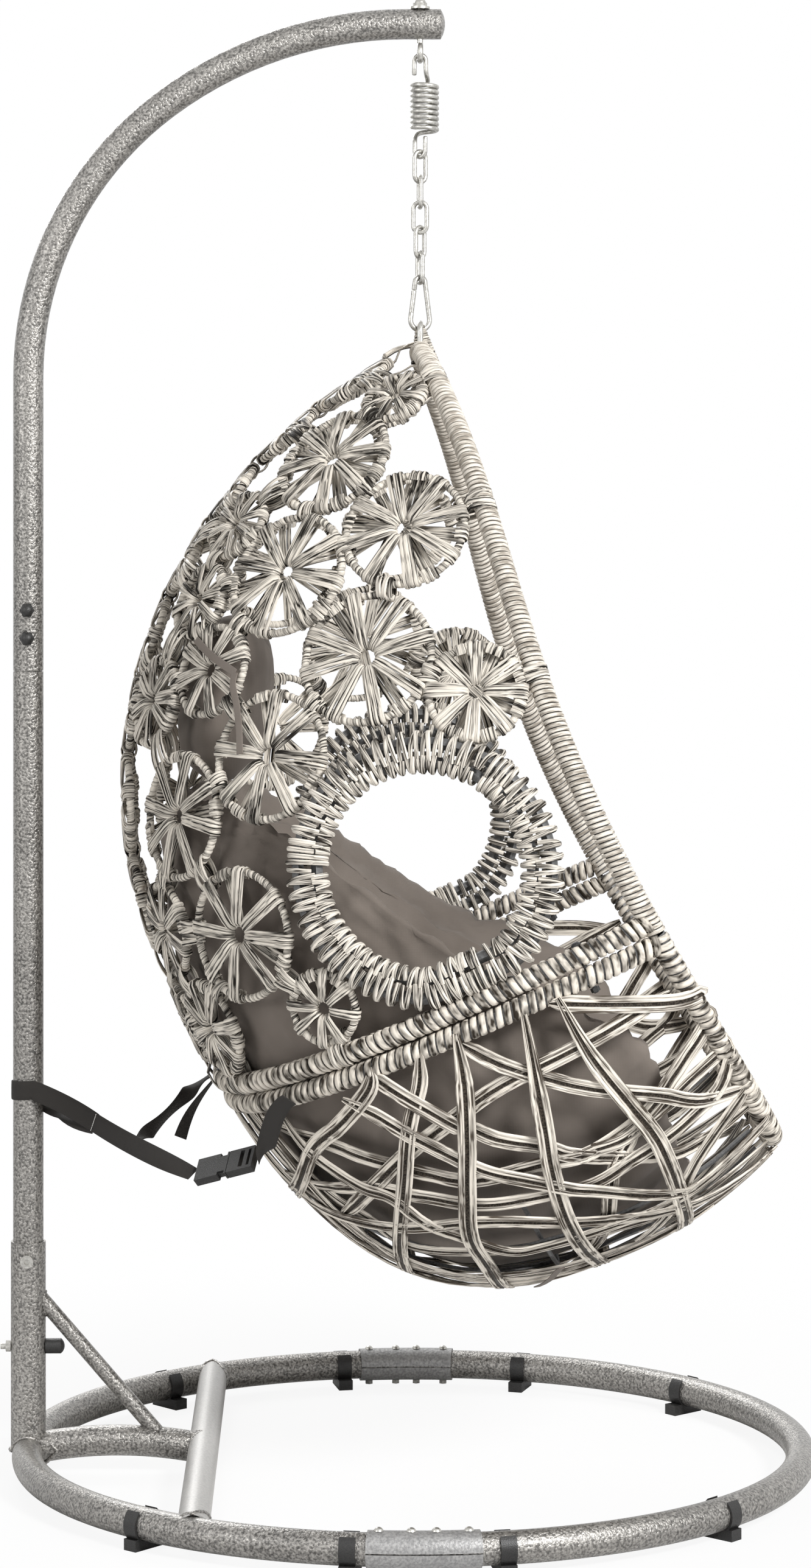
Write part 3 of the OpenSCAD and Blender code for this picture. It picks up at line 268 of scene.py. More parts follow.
SOCKET_R = 0.0230
SOCKET_BEAD_R = 0.0235
BRACE_R = 0.0103
turns = [2 * math.pi * i / 72 for i in range(72)]
bead("bead_socket", [(POST_X + SOCKET_BEAD_R * math.cos(a), SOCKET_BEAD_R * math.sin(a),
                      RING_Z + math.sqrt(max(TUBE_R ** 2 - (SOCKET_BEAD_R * math.cos(a)) ** 2, 0)) + 0.001)
                     for a in turns])
bead("bead_arch_ring", [(POST_X + 0.0205 + TUBE_R * (1 - abs(math.sin(a))), TUBE_R * math.cos(a),
                         RING_Z + 0.002 + TUBE_R * math.sin(a)) for a in turns])
bead("bead_arch_crossbar", [(CROSSBAR_X - TUBE_R * abs(math.cos(a)) - 0.0015, TUBE_R * math.cos(a),
                             RING_Z + 0.002 + TUBE_R * math.sin(a)) for a in turns])
for side in (-1, 1):
    reach = math.sqrt(RING_R ** 2 - (CROSSBAR_X - RING_X) ** 2)
    lean = math.atan2(CROSSBAR_X - RING_X, reach)
    bead("bead_crossbar_near" if side < 0 else "bead_crossbar_far", [
        (CROSSBAR_X + TUBE_R * math.cos(a),
         side * (reach - TUBE_R * abs(math.cos(a)) / math.cos(lean) + math.tan(lean) * TUBE_R * math.cos(a)),
         RING_Z + 0.004 + TUBE_R * math.sin(a)) for a in turns])
BRACE_TOP = Vector((POST_X, 0, RING_Z + 0.220))
BRACE_FOOT = Vector((POST_X + 0.172, 0, RING_Z + 0.020))
brace_way = (BRACE_FOOT - BRACE_TOP).normalized()
brace_up = Vector((0, 1, 0)).cross(brace_way)
brace_points = []
for a in turns:
    ring_point = BRACE_TOP + BRACE_R * (math.cos(a) * Vector((0, 1, 0)) + math.sin(a) * brace_up)
    gap = math.sqrt(SOCKET_R ** 2 - ring_point.y ** 2) - (ring_point.x - POST_X)
    brace_points.append(ring_point + brace_way * (gap / brace_way.x))
bead("bead_brace_socket", brace_points, radius=0.0018)


# ---------------------------------------------------------------------------
# Zinc-plated and black fasteners
# Bolts, washer, nuts, set screw, hook bolt and links are bright zinc; the feet,
# cap nuts and dome cap are moulded black plastic.
# ---------------------------------------------------------------------------
zinc = grained("zinc_plate", roughness=0.35, metallic=0.9, size=240.0, patch=40.0, dark=(0.33, 0.32, 0.30),
               light=(0.66, 0.65, 0.61), bump=0.12, rough=(0.24, 0.46))
dress(zinc, "set_screw", "cross_bolt", "cross_nut", "hook_bolt", "hook_washer", "hook_cap_nut", "bail",
      "gate_pin", "clamp_bolts", "clamp_nuts", *[f"chain_link_{i}" for i in range(1, 6)])

black = grained("black_moulding", roughness=0.45, metallic=0.0, size=700.0, patch=12.0,
                dark=(0.006, 0.006, 0.006), light=(0.028, 0.027, 0.026), bump=0.25, rough=(0.34, 0.55))
dress(black, "ring_feet", "joint_cap_nuts", "cross_bolt_cap", "joint_bolts", "seam_bolts", "seam_nuts",
      "buckle_socket", "buckle_plug")

core_coat = grained("core_coat", roughness=0.5, metallic=0.3, size=300.0, patch=12.0,
                    dark=(0.09, 0.09, 0.09), light=(0.2, 0.2, 0.2), bump=0.2, rough=(0.4, 0.6))
dress(core_coat, "upper_frame_tube", "upper_hoop_tube", "lower_frame_tube", "lower_hoop_tube", "bowl_ribs")


# ---------------------------------------------------------------------------
# Spring and snap hook
# One bright wire wound into a coil, with a hook bent up at each end, and a
# pear-shaped snap hook bent from 7 mm rod.
# ---------------------------------------------------------------------------
HANG_X = 0.01625
EYE_SEAT_Z = 1.868
HOOK_WIRE = 0.008
SPRING_WIRE = 0.0062
SPRING_HOOK_R = 0.0076
SPRING_TURNS = 9
SPRING_PITCH = 0.007
COIL_R = 0.0164
COIL_SHIFT = 0.006
HOOK_END = 0.018
UPPER_LEAD = 0.0302
LOWER_LEAD = 0.0268
BOTTOM_YAW = math.radians(-28)
spring_top = EYE_SEAT_Z + (HOOK_WIRE + SPRING_WIRE) / 2 + 0.0003
coil_top = spring_top - SPRING_HOOK_R - UPPER_LEAD
coil_bottom = coil_top - SPRING_TURNS * SPRING_PITCH
spring_bottom = coil_bottom - SPRING_HOOK_R - LOWER_LEAD


def bezier(a, b, c, d, k):
    return a * (1 - k) ** 3 + b * 3 * k * (1 - k) ** 2 + c * 3 * k * k * (1 - k) + d * k ** 3


def round_wire(name, points, radius):
    """Smooth round bar along points, with domed ends."""
    first = (points[0] - points[1]).normalized()
    last = (points[-1] - points[-2]).normalized()
    points = ([points[0] + first * radius * 0.5, points[0] + first * radius * 0.35] + list(points)
              + [points[-1] + last * radius * 0.35, points[-1] + last * radius * 0.5])
    return round_rod(name, points, [0.45, 0.85] + [1] * (len(points) - 4) + [0.85, 0.45], radius)


hook = [Vector((-SPRING_HOOK_R, 0, -HOOK_END)), Vector((-SPRING_HOOK_R, 0, -HOOK_END * 0.5))]
hook += [SPRING_HOOK_R * Vector((math.cos(a), 0, math.sin(a)))
         for a in [math.radians(180 - 12 * i) for i in range(16)]]
hook += [Vector((SPRING_HOOK_R, 0, -0.35 * LOWER_LEAD))]
upper = [p + Vector((0, 0, spring_top - SPRING_HOOK_R)) for p in hook]
yaw = Matrix.Rotation(BOTTOM_YAW, 3, "Z")
lower = [yaw @ Vector((-p.x, 0, -p.z)) + Vector((0, 0, spring_bottom + SPRING_HOOK_R))
         for p in reversed(hook)]
helix = [Vector((COIL_SHIFT + COIL_R * math.cos(a), COIL_R * math.sin(a),
                 coil_top - (a - math.pi / 2) / (2 * math.pi) * SPRING_PITCH))
         for a in [math.pi / 2 + 2 * math.pi * i / 28 for i in range(28 * SPRING_TURNS + 1)]]
lead_in = [bezier(upper[-1], upper[-1] - Vector((0, 0, 0.5 * UPPER_LEAD)),
                  helix[0] + Vector((0.009, 0, 0.12 * UPPER_LEAD)), helix[0], k / 10) for k in range(1, 10)]
lead_out = [bezier(helix[-1], helix[-1] - Vector((0.013, 0, 0.002)),
                   lower[0] + Vector((0, 0.003, 0.4 * LOWER_LEAD)), lower[0], k / 10) for k in range(1, 10)]
spring_line = [p + Vector((HANG_X, 0, 0)) for p in upper + lead_in + helix + lead_out + lower]
spring = round_wire("spring", spring_line, SPRING_WIRE / 2)
spring.data.materials.append(zinc)
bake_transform(spring)
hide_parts("coil_spring")

SNAP_WIRE = 0.007
SNAP_TOP_R = 0.007
SNAP_FOOT_R = 0.0135
SNAP_SPAN = 0.077 - SNAP_TOP_R - SNAP_FOOT_R - SNAP_WIRE
SNAP_FOOT_Z = 1.5244
SNAP_YAW = math.radians(20)
snap_lean = math.asin((SNAP_FOOT_R - SNAP_TOP_R) / SNAP_SPAN)
snap_side = SNAP_SPAN * math.cos(snap_lean)
gate_pin_at = snap_side * 0.7


def in_snap(x, y, z=0.0):
    """Row-frame place of a point in the snap hook's own plane: x across, y up, z out of the plane."""
    return Vector((HANG_X + x * math.cos(SNAP_YAW) + z * math.sin(SNAP_YAW),
                   x * math.sin(SNAP_YAW) - z * math.cos(SNAP_YAW), SNAP_FOOT_Z + y))


def on_gate_side(at):
    return (-SNAP_FOOT_R * math.cos(snap_lean) + at * math.sin(snap_lean),
            SNAP_FOOT_R * math.sin(snap_lean) + at * math.cos(snap_lean))


snap_line = [in_snap(*on_gate_side(snap_side * 0.16 - 0.0008))]
for i in range(29):
    a = math.pi - snap_lean + (math.pi + 2 * snap_lean) * i / 28
    snap_line.append(in_snap(SNAP_FOOT_R * math.cos(a), SNAP_FOOT_R * math.sin(a)))
for i in range(21):
    a = snap_lean + (math.pi - 2 * snap_lean) * i / 20
    snap_line.append(in_snap(SNAP_TOP_R * math.cos(a), SNAP_SPAN + SNAP_TOP_R * math.sin(a)))
snap_line.append(in_snap(*on_gate_side(gate_pin_at + 0.0046)))
snap = round_wire("snap_hook_bar", snap_line, SNAP_WIRE / 2)
# The tang that the gate turns on, a flat tongue drawn out of the bar's upper end
bpy.ops.mesh.primitive_cube_add(size=1)
tang = bpy.context.object
tang.data.transform(Matrix.Diagonal((0.0052, 0.0085, 0.0022, 1)))
bpy.ops.object.mode_set(mode="EDIT")
bpy.ops.mesh.select_all(action="SELECT")
bpy.ops.mesh.bevel(offset=0.0007, segments=3)
bpy.ops.object.mode_set(mode="OBJECT")
tang_x, tang_y = on_gate_side(gate_pin_at + 0.0015)
tang_turn = Matrix.Rotation(-snap_lean, 4, "Z")
snap_plane = (Matrix.Translation((HANG_X, 0, SNAP_FOOT_Z)) @ Matrix.Rotation(SNAP_YAW, 4, "Z")
              @ Matrix.Rotation(math.radians(90), 4, "X"))
tang.data.transform(snap_plane @ Matrix.Translation((tang_x, tang_y, 0)) @ tang_turn)
pick(snap, tang)
bpy.ops.object.join()
snap.data.materials.clear()
snap.data.materials.append(zinc)
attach(snap, "snap")
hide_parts("snap_hook")
dress(zinc, "snap_gate")


# ---------------------------------------------------------------------------
# Wound tubes of the basket
# The steel tube round the opening and the two hoops along the seam are wound
# tightly with flat plastic wicker, each turn lying beside the one before.
# ---------------------------------------------------------------------------
APEX = Vector((0.0231933, 0, 1.49989))
TILT = math.radians(24)
BASKET_H = 1.210
BASKET_D = 0.657
MID_H = BASKET_H / 2
EGG_TAPER = 0.25
OPENING_HALF_W = 0.43
RIM_HALF_W = OPENING_HALF_W / max(math.sin(math.radians(t)) * (1 - EGG_TAPER * math.cos(math.radians(t)))
                                  for t in range(88, 121))
LIP = 24.0
LOWEST_D = 0.33 * BASKET_D
LIP_RUN = LOWEST_D / math.sin(math.radians(LIP))
BOW = 0.053
BOXY = 0.7
SEAM_DROP = 0.790
WRAP_R = 0.0137
SEAM_ANGLE = math.degrees(math.acos((MID_H - SEAM_DROP) / (MID_H * math.cos(math.radians(LIP)))))
EGG_MIDDLE = Vector((-0.42 * BASKET_D, 0, -0.6 * BASKET_H))
basket_turn = Matrix.Rotation(-TILT, 3, "Y")


def unplaced(p):
    """Point of the row frame in the basket's own frame."""
    return basket_turn.inverted() @ (p - APEX)


def placed(p):
    """Point of the basket's own frame (x forward, z up, origin at its top) in the row frame."""
    return APEX + basket_turn @ p


def rim_bow(rad, low):
    """How far back the opening's edge lies, rad round it from its top."""
    return BOW * abs(math.sin(rad)) ** (5 - 2.4 * low)


def egg(t, s, inset=0.0):
    """Outer surface: t degrees round the opening from its top, s from 0 at the rim to 1 right at the back."""
    rad = math.radians(t)
    low = (1 - math.cos(rad)) / 2
    lip = LIP * low
    a = math.radians((90 + lip) * s - lip)
    p = 2 / (2 + BOXY * low)
    full = rim_bow(rad, low) + LIP_RUN * math.sin(math.radians(lip))
    c = (max(math.cos(a), 0) ** p if a > 0 else math.cos(a)) / math.cos(math.radians(lip))
    d = full + (BASKET_D - full) * math.sin(a) ** p if a > 0 else full + LIP_RUN * math.sin(a)
    drop = MID_H * (1 - math.cos(rad) * (1 - low * (1 - math.cos(math.radians(LIP)))))
    wide = RIM_HALF_W * math.sin(rad) * (1 - EGG_TAPER * math.cos(rad))
    at = Vector((-d, wide * c, -MID_H - (drop - MID_H) * c))
    return at + (EGG_MIDDLE - at).normalized() * inset if inset else at


# The same surface as a fine net, to lay strands on
NET_T, NET_S = 180, 90
net_points = [egg(360 * i / NET_T, j / NET_S) for i in range(NET_T) for j in range(NET_S)] + [egg(0, 1)]
net_faces = []
for i in range(NET_T):
    k = (i + 1) % NET_T
    for j in range(NET_S - 1):
        net_faces.append((i * NET_S + j, i * NET_S + j + 1, k * NET_S + j + 1, k * NET_S + j))
    net_faces.append((i * NET_S + NET_S - 1, len(net_points) - 1, k * NET_S + NET_S - 1))
egg_net = BVHTree.FromPolygons(net_points, net_faces)


def laid(point, inset=0.0):
    """Place on the egg's surface, outwards from its middle through a point, and the outward normal there."""
    way = (point - EGG_MIDDLE).normalized()
    hit, normal, _, _ = egg_net.ray_cast(EGG_MIDDLE, way)
    if hit is None:
        hit, normal, _, _ = egg_net.find_nearest(point)
    if normal.dot(way) < 0:
        normal = -normal
    return hit - normal * inset, normal


def side_point(x, z):
    """Point of the near side's surface at a forward place and a height, with its outward normal."""
    hit, normal, _, _ = egg_net.ray_cast(Vector((x, -1, z)), Vector((0, 1, 0)))
    if hit is None:
        hit, normal, _, _ = egg_net.find_nearest(Vector((x, -0.3, z)))
    if normal.y > 0:
        normal = -normal
    return hit, normal


def frame_line(start, end, steps):
    line = []
    for i in range(steps + 1):
        rim = egg(start + (end - start) * i / steps, 0)
        middle = Vector((rim.x, 0, -MID_H))
        line.append(rim + WRAP_R * ((middle - rim).normalized() + Vector((-1, 0, 0))))
    return line


def surface_half_width(x, z):
    hit, _, _, _ = egg_net.ray_cast(Vector((x, 1, z)), Vector((0, -1, 0)))
    return hit.y if hit is not None else 0.0


def hoop_line(z, steps=40):
    """Middle line of a hoop along the seam, from the near end of the frame round the back to the far end."""
    rad = math.radians(SEAM_ANGLE)
    front = -rim_bow(rad, (1 - math.cos(rad)) / 2) - (3 * WRAP_R + 0.001)
    rear_hit, _, _, _ = egg_net.ray_cast(Vector((-1, 0, z)), Vector((1, 0, 0)))
    rear = rear_hit.x + WRAP_R
    half = []
    for i in range(steps + 1):
        a = math.pi / 2 * i / steps
        x = front + (rear - front) * math.sin(a)
        y = 0 if i == steps else surface_half_width(x - WRAP_R * math.sin(a), z) - WRAP_R * math.cos(a)
        half.append(Vector((x, -y, z)))
    return half + [Vector((p.x, -p.y, z)) for p in reversed(half[:-1])]


# Streaks: light and dark lines along a strand, from the strand's own UV map (u along, v across)
streaks, streaks_in, streaks_out = new_effect("strand_streaks", {"Across": 9.0, "Along": 0.6},
                                              ["Streak", "Edge", "Speckle"])
uv = add_node(streaks, "UVMap", uv_map="UVMap")
split = add_node(streaks, "SeparateXYZ", {0: (uv, "UV")})
along = add_node(streaks, "Math", {0: (split, "X"), 1: (streaks_in, "Along")}, operation="MULTIPLY")
across = add_node(streaks, "Math", {0: (split, "Y"), 1: (streaks_in, "Across")}, operation="MULTIPLY")
coords = add_node(streaks, "TexCoord")
drift = add_node(streaks, "TexNoise", {"Vector": (coords, "Object"), "Scale": 30.0, "Detail": 1.0})
shift = add_node(streaks, "Math", {0: (drift, "Fac"), 1: 2.4}, operation="MULTIPLY")
place = add_node(streaks, "CombineXYZ", {"X": (along, 0), "Y": (across, 0), "Z": (shift, 0)})
lines = add_node(streaks, "TexNoise", {"Vector": (place, 0), "Scale": 1.0, "Detail": 2.0})
sharp = add_node(streaks, "MapRange", {"Value": (lines, "Fac"), "From Min": 0.37, "From Max": 0.57})
centre = add_node(streaks, "Math", {0: (split, "Y"), 1: 0.5}, operation="SUBTRACT")
away = add_node(streaks, "Math", {0: (centre, 0)}, operation="ABSOLUTE")
edge = add_node(streaks, "MapRange", {"Value": (away, 0), "From Min": 0.10, "From Max": 0.15})
speck = add_node(streaks, "TexNoise", {"Vector": (coords, "Object"), "Scale": 420.0, "Detail": 2.0})
feed(streaks_out, {"Streak": (sharp, "Result"), "Edge": (edge, "Result"), "Speckle": (speck, "Fac")})


def wicker_material(name, across, along, dark, light, bump=0.5, stripe=False):
    made, tree, bsdf = plain_material(name, 0.55)
    effect = add_node(tree, "Group", {"Across": across, "Along": along}, node_tree=streaks)
    colour = add_node(tree, "Mix", {"Factor": (effect, "Streak"), "A": (*dark, 1), "B": (*light, 1)},
                      data_type="RGBA")
    if stripe:
        speck = add_node(tree, "MapRange", {"Value": (effect, "Speckle"), "From Min": 0.42, "From Max": 0.58})
        centre = add_node(tree, "Mix", {"Factor": (speck, "Result"), "A": (*[c * 0.25 for c in dark], 1),
                                        "B": (*[c * 0.85 for c in dark], 1)}, data_type="RGBA")
        colour = add_node(tree, "Mix", {"Factor": (effect, "Edge"), "A": (centre, "Result"),
                                        "B": (colour, "Result")}, data_type="RGBA")
    rough = add_node(tree, "MapRange", {"Value": (effect, "Streak"), "To Min": 0.62, "To Max": 0.42})
    height = add_node(tree, "Bump", {"Height": (effect, "Streak"), "Strength": bump, "Distance": 0.0008})
    feed(bsdf, {"Specular IOR Level": 0.12, "Base Color": (colour, "Result"), "Roughness": (rough, "Result"),
                "Normal": (height, "Normal")})
    return made


wound_wicker = wicker_material("wound_wicker", across=2.2, along=3.0, dark=(0.034, 0.027, 0.020),
                               light=(0.8, 0.74, 0.65))
frame_wicker = wicker_material("frame_wicker", across=3.0, along=4.0, dark=(0.36, 0.32, 0.27),
                               light=(0.8, 0.75, 0.67))


def wound_tube(name, line, radius, pitch, strand_t, slant, finish=wound_wicker):
    """Turns of flat strand side by side along a line: one turn is made, repeated and bent along the line."""
    length = sum((b - a).length for a, b in zip(line, line[1:]))
    bpy.ops.object.select_all(action="DESELECT")
    bpy.ops.mesh.primitive_torus_add(major_segments=22, minor_segments=6, major_radius=radius - strand_t / 2,
                                     minor_radius=strand_t / 2, generate_uvs=True)
    turn = bpy.context.object
    turn.name = name
    turn.data.transform(Matrix.Diagonal((1, 1, pitch * 0.87 / strand_t, 1)))
    shear = Matrix.Identity(4)
    shear[2][0] = slant
    turn.data.transform(Matrix.Rotation(math.radians(90), 4, "Y") @ shear)
    curve = poly_curve(name + "_line", [placed(point) for point in line], [1] * len(line))
    curve.twist_mode = "MINIMUM"
    guide = new_object(name + "_line", curve)
    repeat = turn.modifiers.new("turns", "ARRAY")
    repeat.count = max(round(length / pitch), 1)
    step = length / repeat.count
    repeat.use_relative_offset = False
    repeat.use_constant_offset = True
    repeat.constant_offset_displace = (step, 0, 0)
    repeat.offset_u = 0.37
    bend = turn.modifiers.new("along_tube", "CURVE")
    bend.object = guide
    bend.deform_axis = "POS_X"
    pick(turn)
    bpy.ops.object.modifier_apply(modifier="turns")
    turn.data.transform(Matrix.Translation((step / 2, 0, 0)))
    bpy.ops.object.modifier_apply(modifier="along_tube")
    bpy.ops.object.shade_smooth()
    bpy.data.objects.remove(guide)
    turn.data.materials.append(finish)
    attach(turn, "basket")
    return turn


def carried_on(line, reach):
    """The line with both ends carried straight on, so that a hoop's winding meets the frame."""
    return [line[0] + (line[0] - line[1]).normalized() * reach, *line,
            line[-1] + (line[-1] - line[-2]).normalized() * reach]


HOOP_END_GAP = 2 * WRAP_R
lower_from = SEAM_ANGLE + 0.3
SNUG = 0.0003
upper_wrap = wound_tube("upper_frame_winding", frame_line(-SEAM_ANGLE, SEAM_ANGLE, 120),
                        radius=WRAP_R + 0.0006, pitch=0.0063, strand_t=0.0032, slant=0.12,
                        finish=frame_wicker)
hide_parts("upper_frame_wrap")
lower_wrap = wound_tube("lower_frame_winding", frame_line(lower_from, 360 - lower_from, 80),
                        radius=WRAP_R + 0.0006, pitch=0.0105, strand_t=0.0042, slant=0.16)
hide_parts("lower_frame_wrap")
upper_hoop = wound_tube("upper_hoop_winding",
                        carried_on(hoop_line(-SEAM_DROP + WRAP_R + SNUG), HOOP_END_GAP), radius=WRAP_R,
                        pitch=0.0110, strand_t=0.0040, slant=-0.24)
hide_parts("upper_hoop_wrap")
lower_hoop = wound_tube("lower_hoop_winding",
                        carried_on(hoop_line(-SEAM_DROP - WRAP_R - SNUG), HOOP_END_GAP), radius=WRAP_R,
                        pitch=0.0110, strand_t=0.0040, slant=0.24)
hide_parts("lower_hoop_wrap")


# ---------------------------------------------------------------------------
# Armhole rings
# A flat ring of two wires braided over with wide wicker strips, which lie in a
# zigzag; here and there a few strips go straight across the whole band.
# ---------------------------------------------------------------------------
shuffle = random.Random(7)
STRAND_SHAPES = {
    "round": [(-0.5, 0), (-0.3, 0.42), (0, 0.5), (0.3, 0.42), (0.5, 0), (0, -0.42)],
    "ridged": [(-0.5, 0), (-0.45, 0.42), (-0.33, 0.5), (-0.26, 0.28), (-0.2, 0.46), (-0.13, 0.46),
               (-0.08, 0.2), (0.08, 0.2), (0.13, 0.46), (0.2, 0.46), (0.26, 0.28), (0.33, 0.5), (0.45, 0.42),
               (0.5, 0), (0, -0.4)],
    "flat": [(-0.5, 0), (-0.47, 0.4), (-0.25, 0.5), (0, 0.5), (0.25, 0.5), (0.47, 0.4), (0.5, 0),
             (0.47, -0.4), (0, -0.5), (-0.47, -0.4)]}


def lay_strand(bundle, points, outs, width, thick, section="round", taper=0.0):
    """Adds a flat strand along points, its face towards outs; width may change along it."""
    n = len(points)
    shape = STRAND_SHAPES[section]
    start = len(bundle["verts"])
    sides = len(shape)
    shift = shuffle.uniform(0, 40)
    run = 0.0
    for i in range(n):
        along = (points[min(i + 1, n - 1)] - points[max(i - 1, 0)]).normalized()
        across = along.cross(outs[i]).normalized()
        out = across.cross(along).normalized()
        if i:
            run += (points[i] - points[i - 1]).length
        wide = width[i] if isinstance(width, list) else width
        if taper:
            wide *= min(1.0, 0.3 + 0.7 * min(i, n - 1 - i) / (taper * (n - 1)))
        for x, y in shape:
            bundle["verts"].append(points[i] + across * wide * x + out * thick * y)
            bundle["uvs"].append((shift + run * 100, 0.5 + x if y > -0.1 or section == "flat" else 0.5))
    for i in range(n - 1):
        for k in range(sides):
            a, b = start + i * sides + k, start + i * sides + (k + 1) % sides
            bundle["faces"].append((a, b, b + sides, a + sides))
    bundle["faces"].append(tuple(start + k for k in reversed(range(sides))))
    bundle["faces"].append(tuple(start + (n - 1) * sides + k for k in range(sides)))


def new_bundle():
    return {"verts": [], "faces": [], "uvs": []}


def take_in(bundle, other, verts):
    """Adds another bundle's strands with their points at verts."""
    start = len(bundle["verts"])
    shift = shuffle.uniform(0, 40)
    bundle["verts"] += verts
    bundle["uvs"] += [(u + shift, v) for u, v in other["uvs"]]
    bundle["faces"] += [tuple(start + k for k in face) for face in other["faces"]]


def faced_outwards(piece):
    """Picks a closed piece and turns all its faces outwards."""
    pick(piece)
    bpy.ops.object.mode_set(mode="EDIT")
    bpy.ops.mesh.select_all(action="SELECT")
    bpy.ops.mesh.normals_make_consistent(inside=False)
    bpy.ops.object.mode_set(mode="OBJECT")


def bundle_piece(name, bundle, material, body, slot, *replaced):
    """Makes the strands one piece, in place on the basket."""
    mesh = bpy.data.meshes.new(name)
    mesh.from_pydata([placed(v) for v in bundle["verts"]], [], bundle["faces"])
    layer = mesh.uv_layers.new(name="UVMap")
    layer.data.foreach_set("uv", [c for loop in mesh.loops for c in bundle["uvs"][loop.vertex_index]])
    piece = new_object(name, mesh)
    mesh.materials.append(material)
    faced_outwards(piece)
    bpy.ops.object.shade_smooth_by_angle(angle=math.radians(50))
    if body:
        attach(piece, body)
    if replaced:
        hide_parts(*replaced)
    return piece


ARMHOLE_X = -0.283
ARMHOLE_Z = -0.607
ARMHOLE_R = 0.143
ARMHOLE_T = 0.024
ON_SEAM = -SEAM_DROP + 2 * WRAP_R + 0.0023
BAND_HALF = 0.0215
BAND_DEEP = 0.0125
strip_wicker = wicker_material("strip_wicker", across=3.4, along=0.16, dark=(0.024, 0.019, 0.014),
                               light=(0.82, 0.765, 0.68))


def ring_place(a):
    """Middle of the armhole band at an angle, the way out of the hole and the way out of the basket there."""
    def at(b):
        x = ARMHOLE_X + ARMHOLE_R * math.cos(b)
        z = max(ARMHOLE_Z + ARMHOLE_R * math.sin(b), ON_SEAM + 0.020)
        p, _ = side_point(x, z)
        return p + Vector((0, ARMHOLE_T / 2, 0))
    here = at(a)
    along = (at(a + 0.05) - at(a - 0.05)).normalized()
    face = Vector((0, -1, 0))
    outwards = along.cross(face).normalized()
    if outwards.dot(here - Vector((ARMHOLE_X, here.y, ARMHOLE_Z))) < 0:
        outwards = -outwards
    return here, outwards, along.cross(outwards).normalized() * (1 if along.cross(outwards).y < 0 else -1)


RING_STEPS = 144
ring_places = [ring_place(2 * math.pi * i / RING_STEPS) for i in range(RING_STEPS)]


def on_band(a, phi, lift):
    """Point of the band's skin: phi 0 is the outer edge, 90 the outside face, 180 the inner edge."""
    turn = a / (2 * math.pi) * RING_STEPS
    i, part = int(math.floor(turn)), turn - math.floor(turn)
    (p, o, f), (q, u, g) = ring_places[i % RING_STEPS], ring_places[(i + 1) % RING_STEPS]
    here, outwards, face = p.lerp(q, part), o.lerp(u, part), f.lerp(g, part)
    c, k = math.cos(math.radians(phi)), math.sin(math.radians(phi))
    c = math.copysign(abs(c) ** 0.8, c)
    k = math.copysign(abs(k) ** 0.8, k)
    out = (outwards * c * BAND_DEEP + face * k * BAND_HALF).normalized()
    return here + outwards * c * BAND_HALF + face * k * BAND_DEEP + out * lift, out


ring_strands, ring_core = new_bundle(), new_bundle()
for edge in (0, 180):
    wire = [on_band(2 * math.pi * i / 72, edge, -0.0105) for i in range(73)]
    lay_strand(ring_core, *zip(*wire), width=0.020, thick=0.016)
TEETH = 62
TOOTH = 2 * math.pi / TEETH
for tooth in range(TEETH):
    place = tooth * TOOTH
    straight = tooth % 21 in (4, 5)
    for row in (0, 1):
        for k in (0, 1):
            edge = place + TOOTH * (k + 0.5 * row) + shuffle.uniform(-0.012, 0.012)
            middle = place + TOOTH * (0.5 + 0.5 * row) + (0.020 if k else -0.020)
            middle += shuffle.uniform(-0.008, 0.008)
            if straight:
                edge = middle = place + TOOTH * k / 2
            lift = 0.0024 + 0.0014 * k + shuffle.uniform(0, 0.0006)
            reach = shuffle.uniform(92, 112)
            skin, widths = [], []
            for i in range(13):
                q = i / 12
                phi = -90 + (reach + 90) * q if row == 0 else 270 - (180 - reach + 90) * q
                swing = min(1.0, max(0.0, (q - 0.45) / 0.55))
                tuck = 0.0030 * (q - 0.85) / 0.15 if q > 0.85 else 0
                skin.append(on_band(edge + (middle - edge) * swing, phi, lift - tuck))
                widths.append(0.0058 if q < 0.5 else 0.0068 - 0.0012 * q)
            lay_strand(ring_strands, *zip(*skin), width=widths, thick=0.0036)

far_side = Matrix.Diagonal((1, -1, 1, 1))
far_ring, far_core = new_bundle(), new_bundle()
take_in(far_ring, ring_strands, [far_side @ v for v in ring_strands["verts"]])
take_in(far_core, ring_core, [far_side @ v for v in ring_core["verts"]])
bundle_piece("armhole_braid_near", ring_strands, strip_wicker, "basket", "wicker", "armhole_ring_near")
bundle_piece("armhole_braid_far", far_ring, strip_wicker, "basket", "wicker", "armhole_ring_far")
bundle_piece("armhole_wires_near", ring_core, core_coat, "basket", "core_steel")
bundle_piece("armhole_wires_far", far_core, core_coat, "basket", "core_steel")


# ---------------------------------------------------------------------------
# Rosettes
# Wheels of wicker: strands go from a small hub over a wound rim and back, in
# petals of three in front, with a second set of petals half a step behind.
# ---------------------------------------------------------------------------
petal_wicker = wicker_material("petal_wicker", across=2.6, along=0.12, dark=(0.010, 0.008, 0.006),
                               light=(0.78, 0.725, 0.64))


PETALS = 8
RIM_STRAND_W = 0.0078
PETAL_STRAND_T = 0.0030
PETAL_PITCH = 0.0070
BEHIND_LEFT_OUT = 0.62


